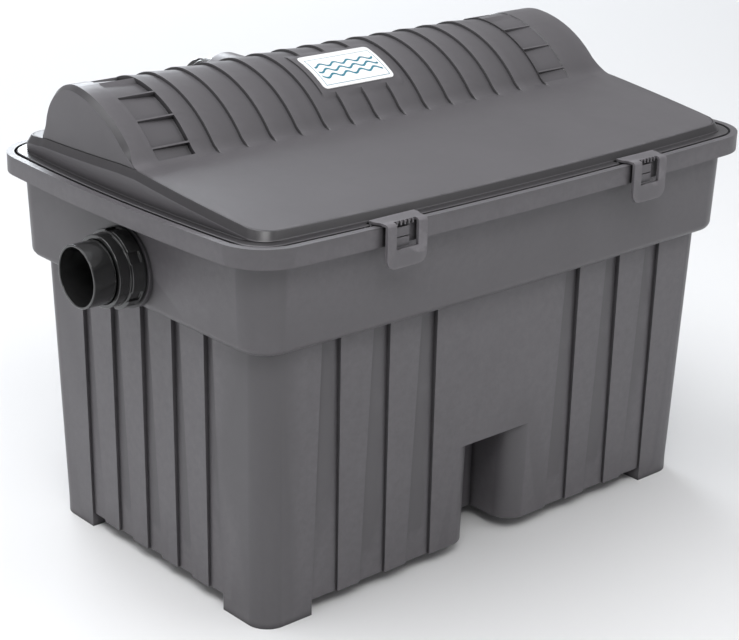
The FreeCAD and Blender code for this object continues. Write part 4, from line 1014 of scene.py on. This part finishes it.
def add_disc(mesh, turn, centre, radius, half, hole, lift=0.0, count=28):
    """Thin flat ring, turned and moved as a whole, in mm."""
    loops = []
    for r, h in ((hole, -half), (radius - 0.4, -half), (radius, -half * 0.3),
                 (radius, half * 0.3), (radius - 0.4, half), (hole, half)):
        loops.append([mesh.verts.new((turn @ Vector((r * math.cos(2 * math.pi * k / count),
                                                    r * math.sin(2 * math.pi * k / count),
                                                    h + lift)) + centre) * MM)
                      for k in range(count)])
    for i in range(len(loops)):
        a, b = loops[i], loops[(i + 1) % len(loops)]
        for k in range(count):
            n = (k + 1) % count
            mesh.faces.new((a[k], a[n], b[n], b[k]))


def ball_centres(node):
    """Centres of a node's separate round solids, in mm."""
    mesh = bmesh.new()
    mesh.from_mesh(NODES[node].data)
    bmesh.ops.remove_doubles(mesh, verts=mesh.verts, dist=1e-6)
    mesh.verts.ensure_lookup_table()
    seen, centres = set(), []
    for start in mesh.verts:
        if start.index in seen:
            continue
        stack, island = [start], []
        seen.add(start.index)
        while stack:
            vert = stack.pop()
            island.append(vert.co)
            for edge in vert.link_edges:
                other = edge.other_vert(vert)
                if other.index not in seen:
                    seen.add(other.index)
                    stack.append(other)
        points = np.array(island)
        centres.append((points.min(0) + points.max(0)) / 2 / MM)
    mesh.free()
    return centres


BALL_R = 14.7


def filter_balls():
    """Open plastic balls: five level rings and three upright ones round a small core."""
    mesh = bmesh.new()
    rng = np.random.default_rng(11)
    for centre in ball_centres("bio_balls"):
        turn = Matrix.Rotation(rng.uniform(0, 6.28), 3, "Z") \
            @ Matrix.Rotation(rng.uniform(0, 1.5), 3, "X")
        middle = Vector(centre)
        for lift in (-9.6, -4.8, 0, 4.8, 9.6):
            radius = math.sqrt(BALL_R ** 2 - lift ** 2)
            add_disc(mesh, turn, middle, radius, 0.6, max(2.5, radius - 5), lift)
        for k in range(3):
            upright = turn @ Matrix.Rotation(math.pi * k / 3, 3, "Z") \
                @ Matrix.Rotation(math.pi / 2, 3, "X")
            add_disc(mesh, upright, middle, BALL_R - 0.5, 0.5, 2.2)
        add_disc(mesh, turn, middle, 3, 12.5, 1.6, count=12)
    bmesh.ops.recalc_face_normals(mesh, faces=mesh.faces)
    return mesh


balls = finish_piece("filter_balls", filter_balls(), [SLOTS["ball_plastic"]], "tank",
                     "ball_plastic", "bio_balls")
even_normals(balls, 40)


# ---------------- stage

FLOOR = 14      # side of the floor, m


def studio():
    """Plain pale floor, and a world that is palest overhead and darkest near the horizon."""
    bpy.ops.mesh.primitive_plane_add(size=1)
    bpy.context.object.name = "floor"
    floor = bpy.context.object
    floor.scale = (FLOOR, FLOOR, 1)
    material, look, shader = new_material("pale_floor")
    tone = look.ramp(look.noise(look.coords(), 3, 2), [(0.3, (0.74,) * 3), (0.7, (0.77,) * 3)])
    look.feed(shader, {"Base Color": tone, "Roughness": 0.9, "Specular IOR Level": 0})
    set_material(floor, material)

    world = bpy.data.worlds.new("studio")
    bpy.context.scene.world = world
    world.use_nodes = True
    look = Nodes(world.node_tree)
    direction = look.add("SeparateXYZ", {0: look.add("TexCoord", {})["Generated"]})
    height = look.add("MapRange", {"Value": direction["Z"], "From Min": -1})["Result"]
    sky = look.ramp(height, [(0.0, (0.50, 0.50, 0.50)), (0.53, (0.36, 0.36, 0.37)),
                             (0.66, (0.46, 0.46, 0.47)), (0.86, (0.58, 0.58, 0.59)),
                             (1.0, (0.88, 0.90, 0.94))])
    look.feed(world.node_tree.nodes["Background"], {"Color": sky, "Strength": 1.0})


def soft_box(name, place, aim, size, power, colour=(1, 1, 1)):
    light = bpy.data.lights.new(name, "AREA")
    light.shape = "RECTANGLE"
    light.size, light.size_y = size
    light.energy = power
    light.color = colour
    thing = new_object(name, light)
    thing.location = place
    thing.rotation_euler = (Vector(aim) - Vector(place)).to_track_quat("-Z", "Y").to_euler()


studio()
soft_box("top_light", (-0.9, 0.4, 2.4), (0, 0, 0.3), (1.8, 1.8), 33, (0.97, 0.98, 1))
soft_box("front_light", (-0.9, -1.3, 1.9), (-0.1, 0, 0.3), (1.0, 0.8), 17)
soft_box("fill_light", (0.8, -1.5, 1.7), (-0.1, 0, 0.3), (0.9, 0.6), 4)
soft_box("left_light", (-4.4, 0.2, 1.6), (-0.2, 0, 0.2), (2.0, 1.6), 8)
soft_box("rear_light", (1.6, 4.6, 2.2), (-0.2, 0, 0.3), (2.4, 1.4), 135, (0.90, 0.95, 1))

# the photograph's viewpoint
CAMERA_PLACE = (-1.0094, -1.1354, 0.7400)       # m
CAMERA_TURN = (69.183, -1.134, -41.243)         # degrees about X, Y and Z
camera_data = bpy.data.cameras.new("camera")
camera_data.lens = 91.43
camera_data.sensor_width = 36
camera = new_object("camera", camera_data)
camera.matrix_world = Matrix.LocRotScale(Vector(CAMERA_PLACE),
                                         Euler(map(math.radians, CAMERA_TURN)), None)
bpy.context.scene.camera = camera
bpy.context.scene.view_settings.view_transform = "Standard"
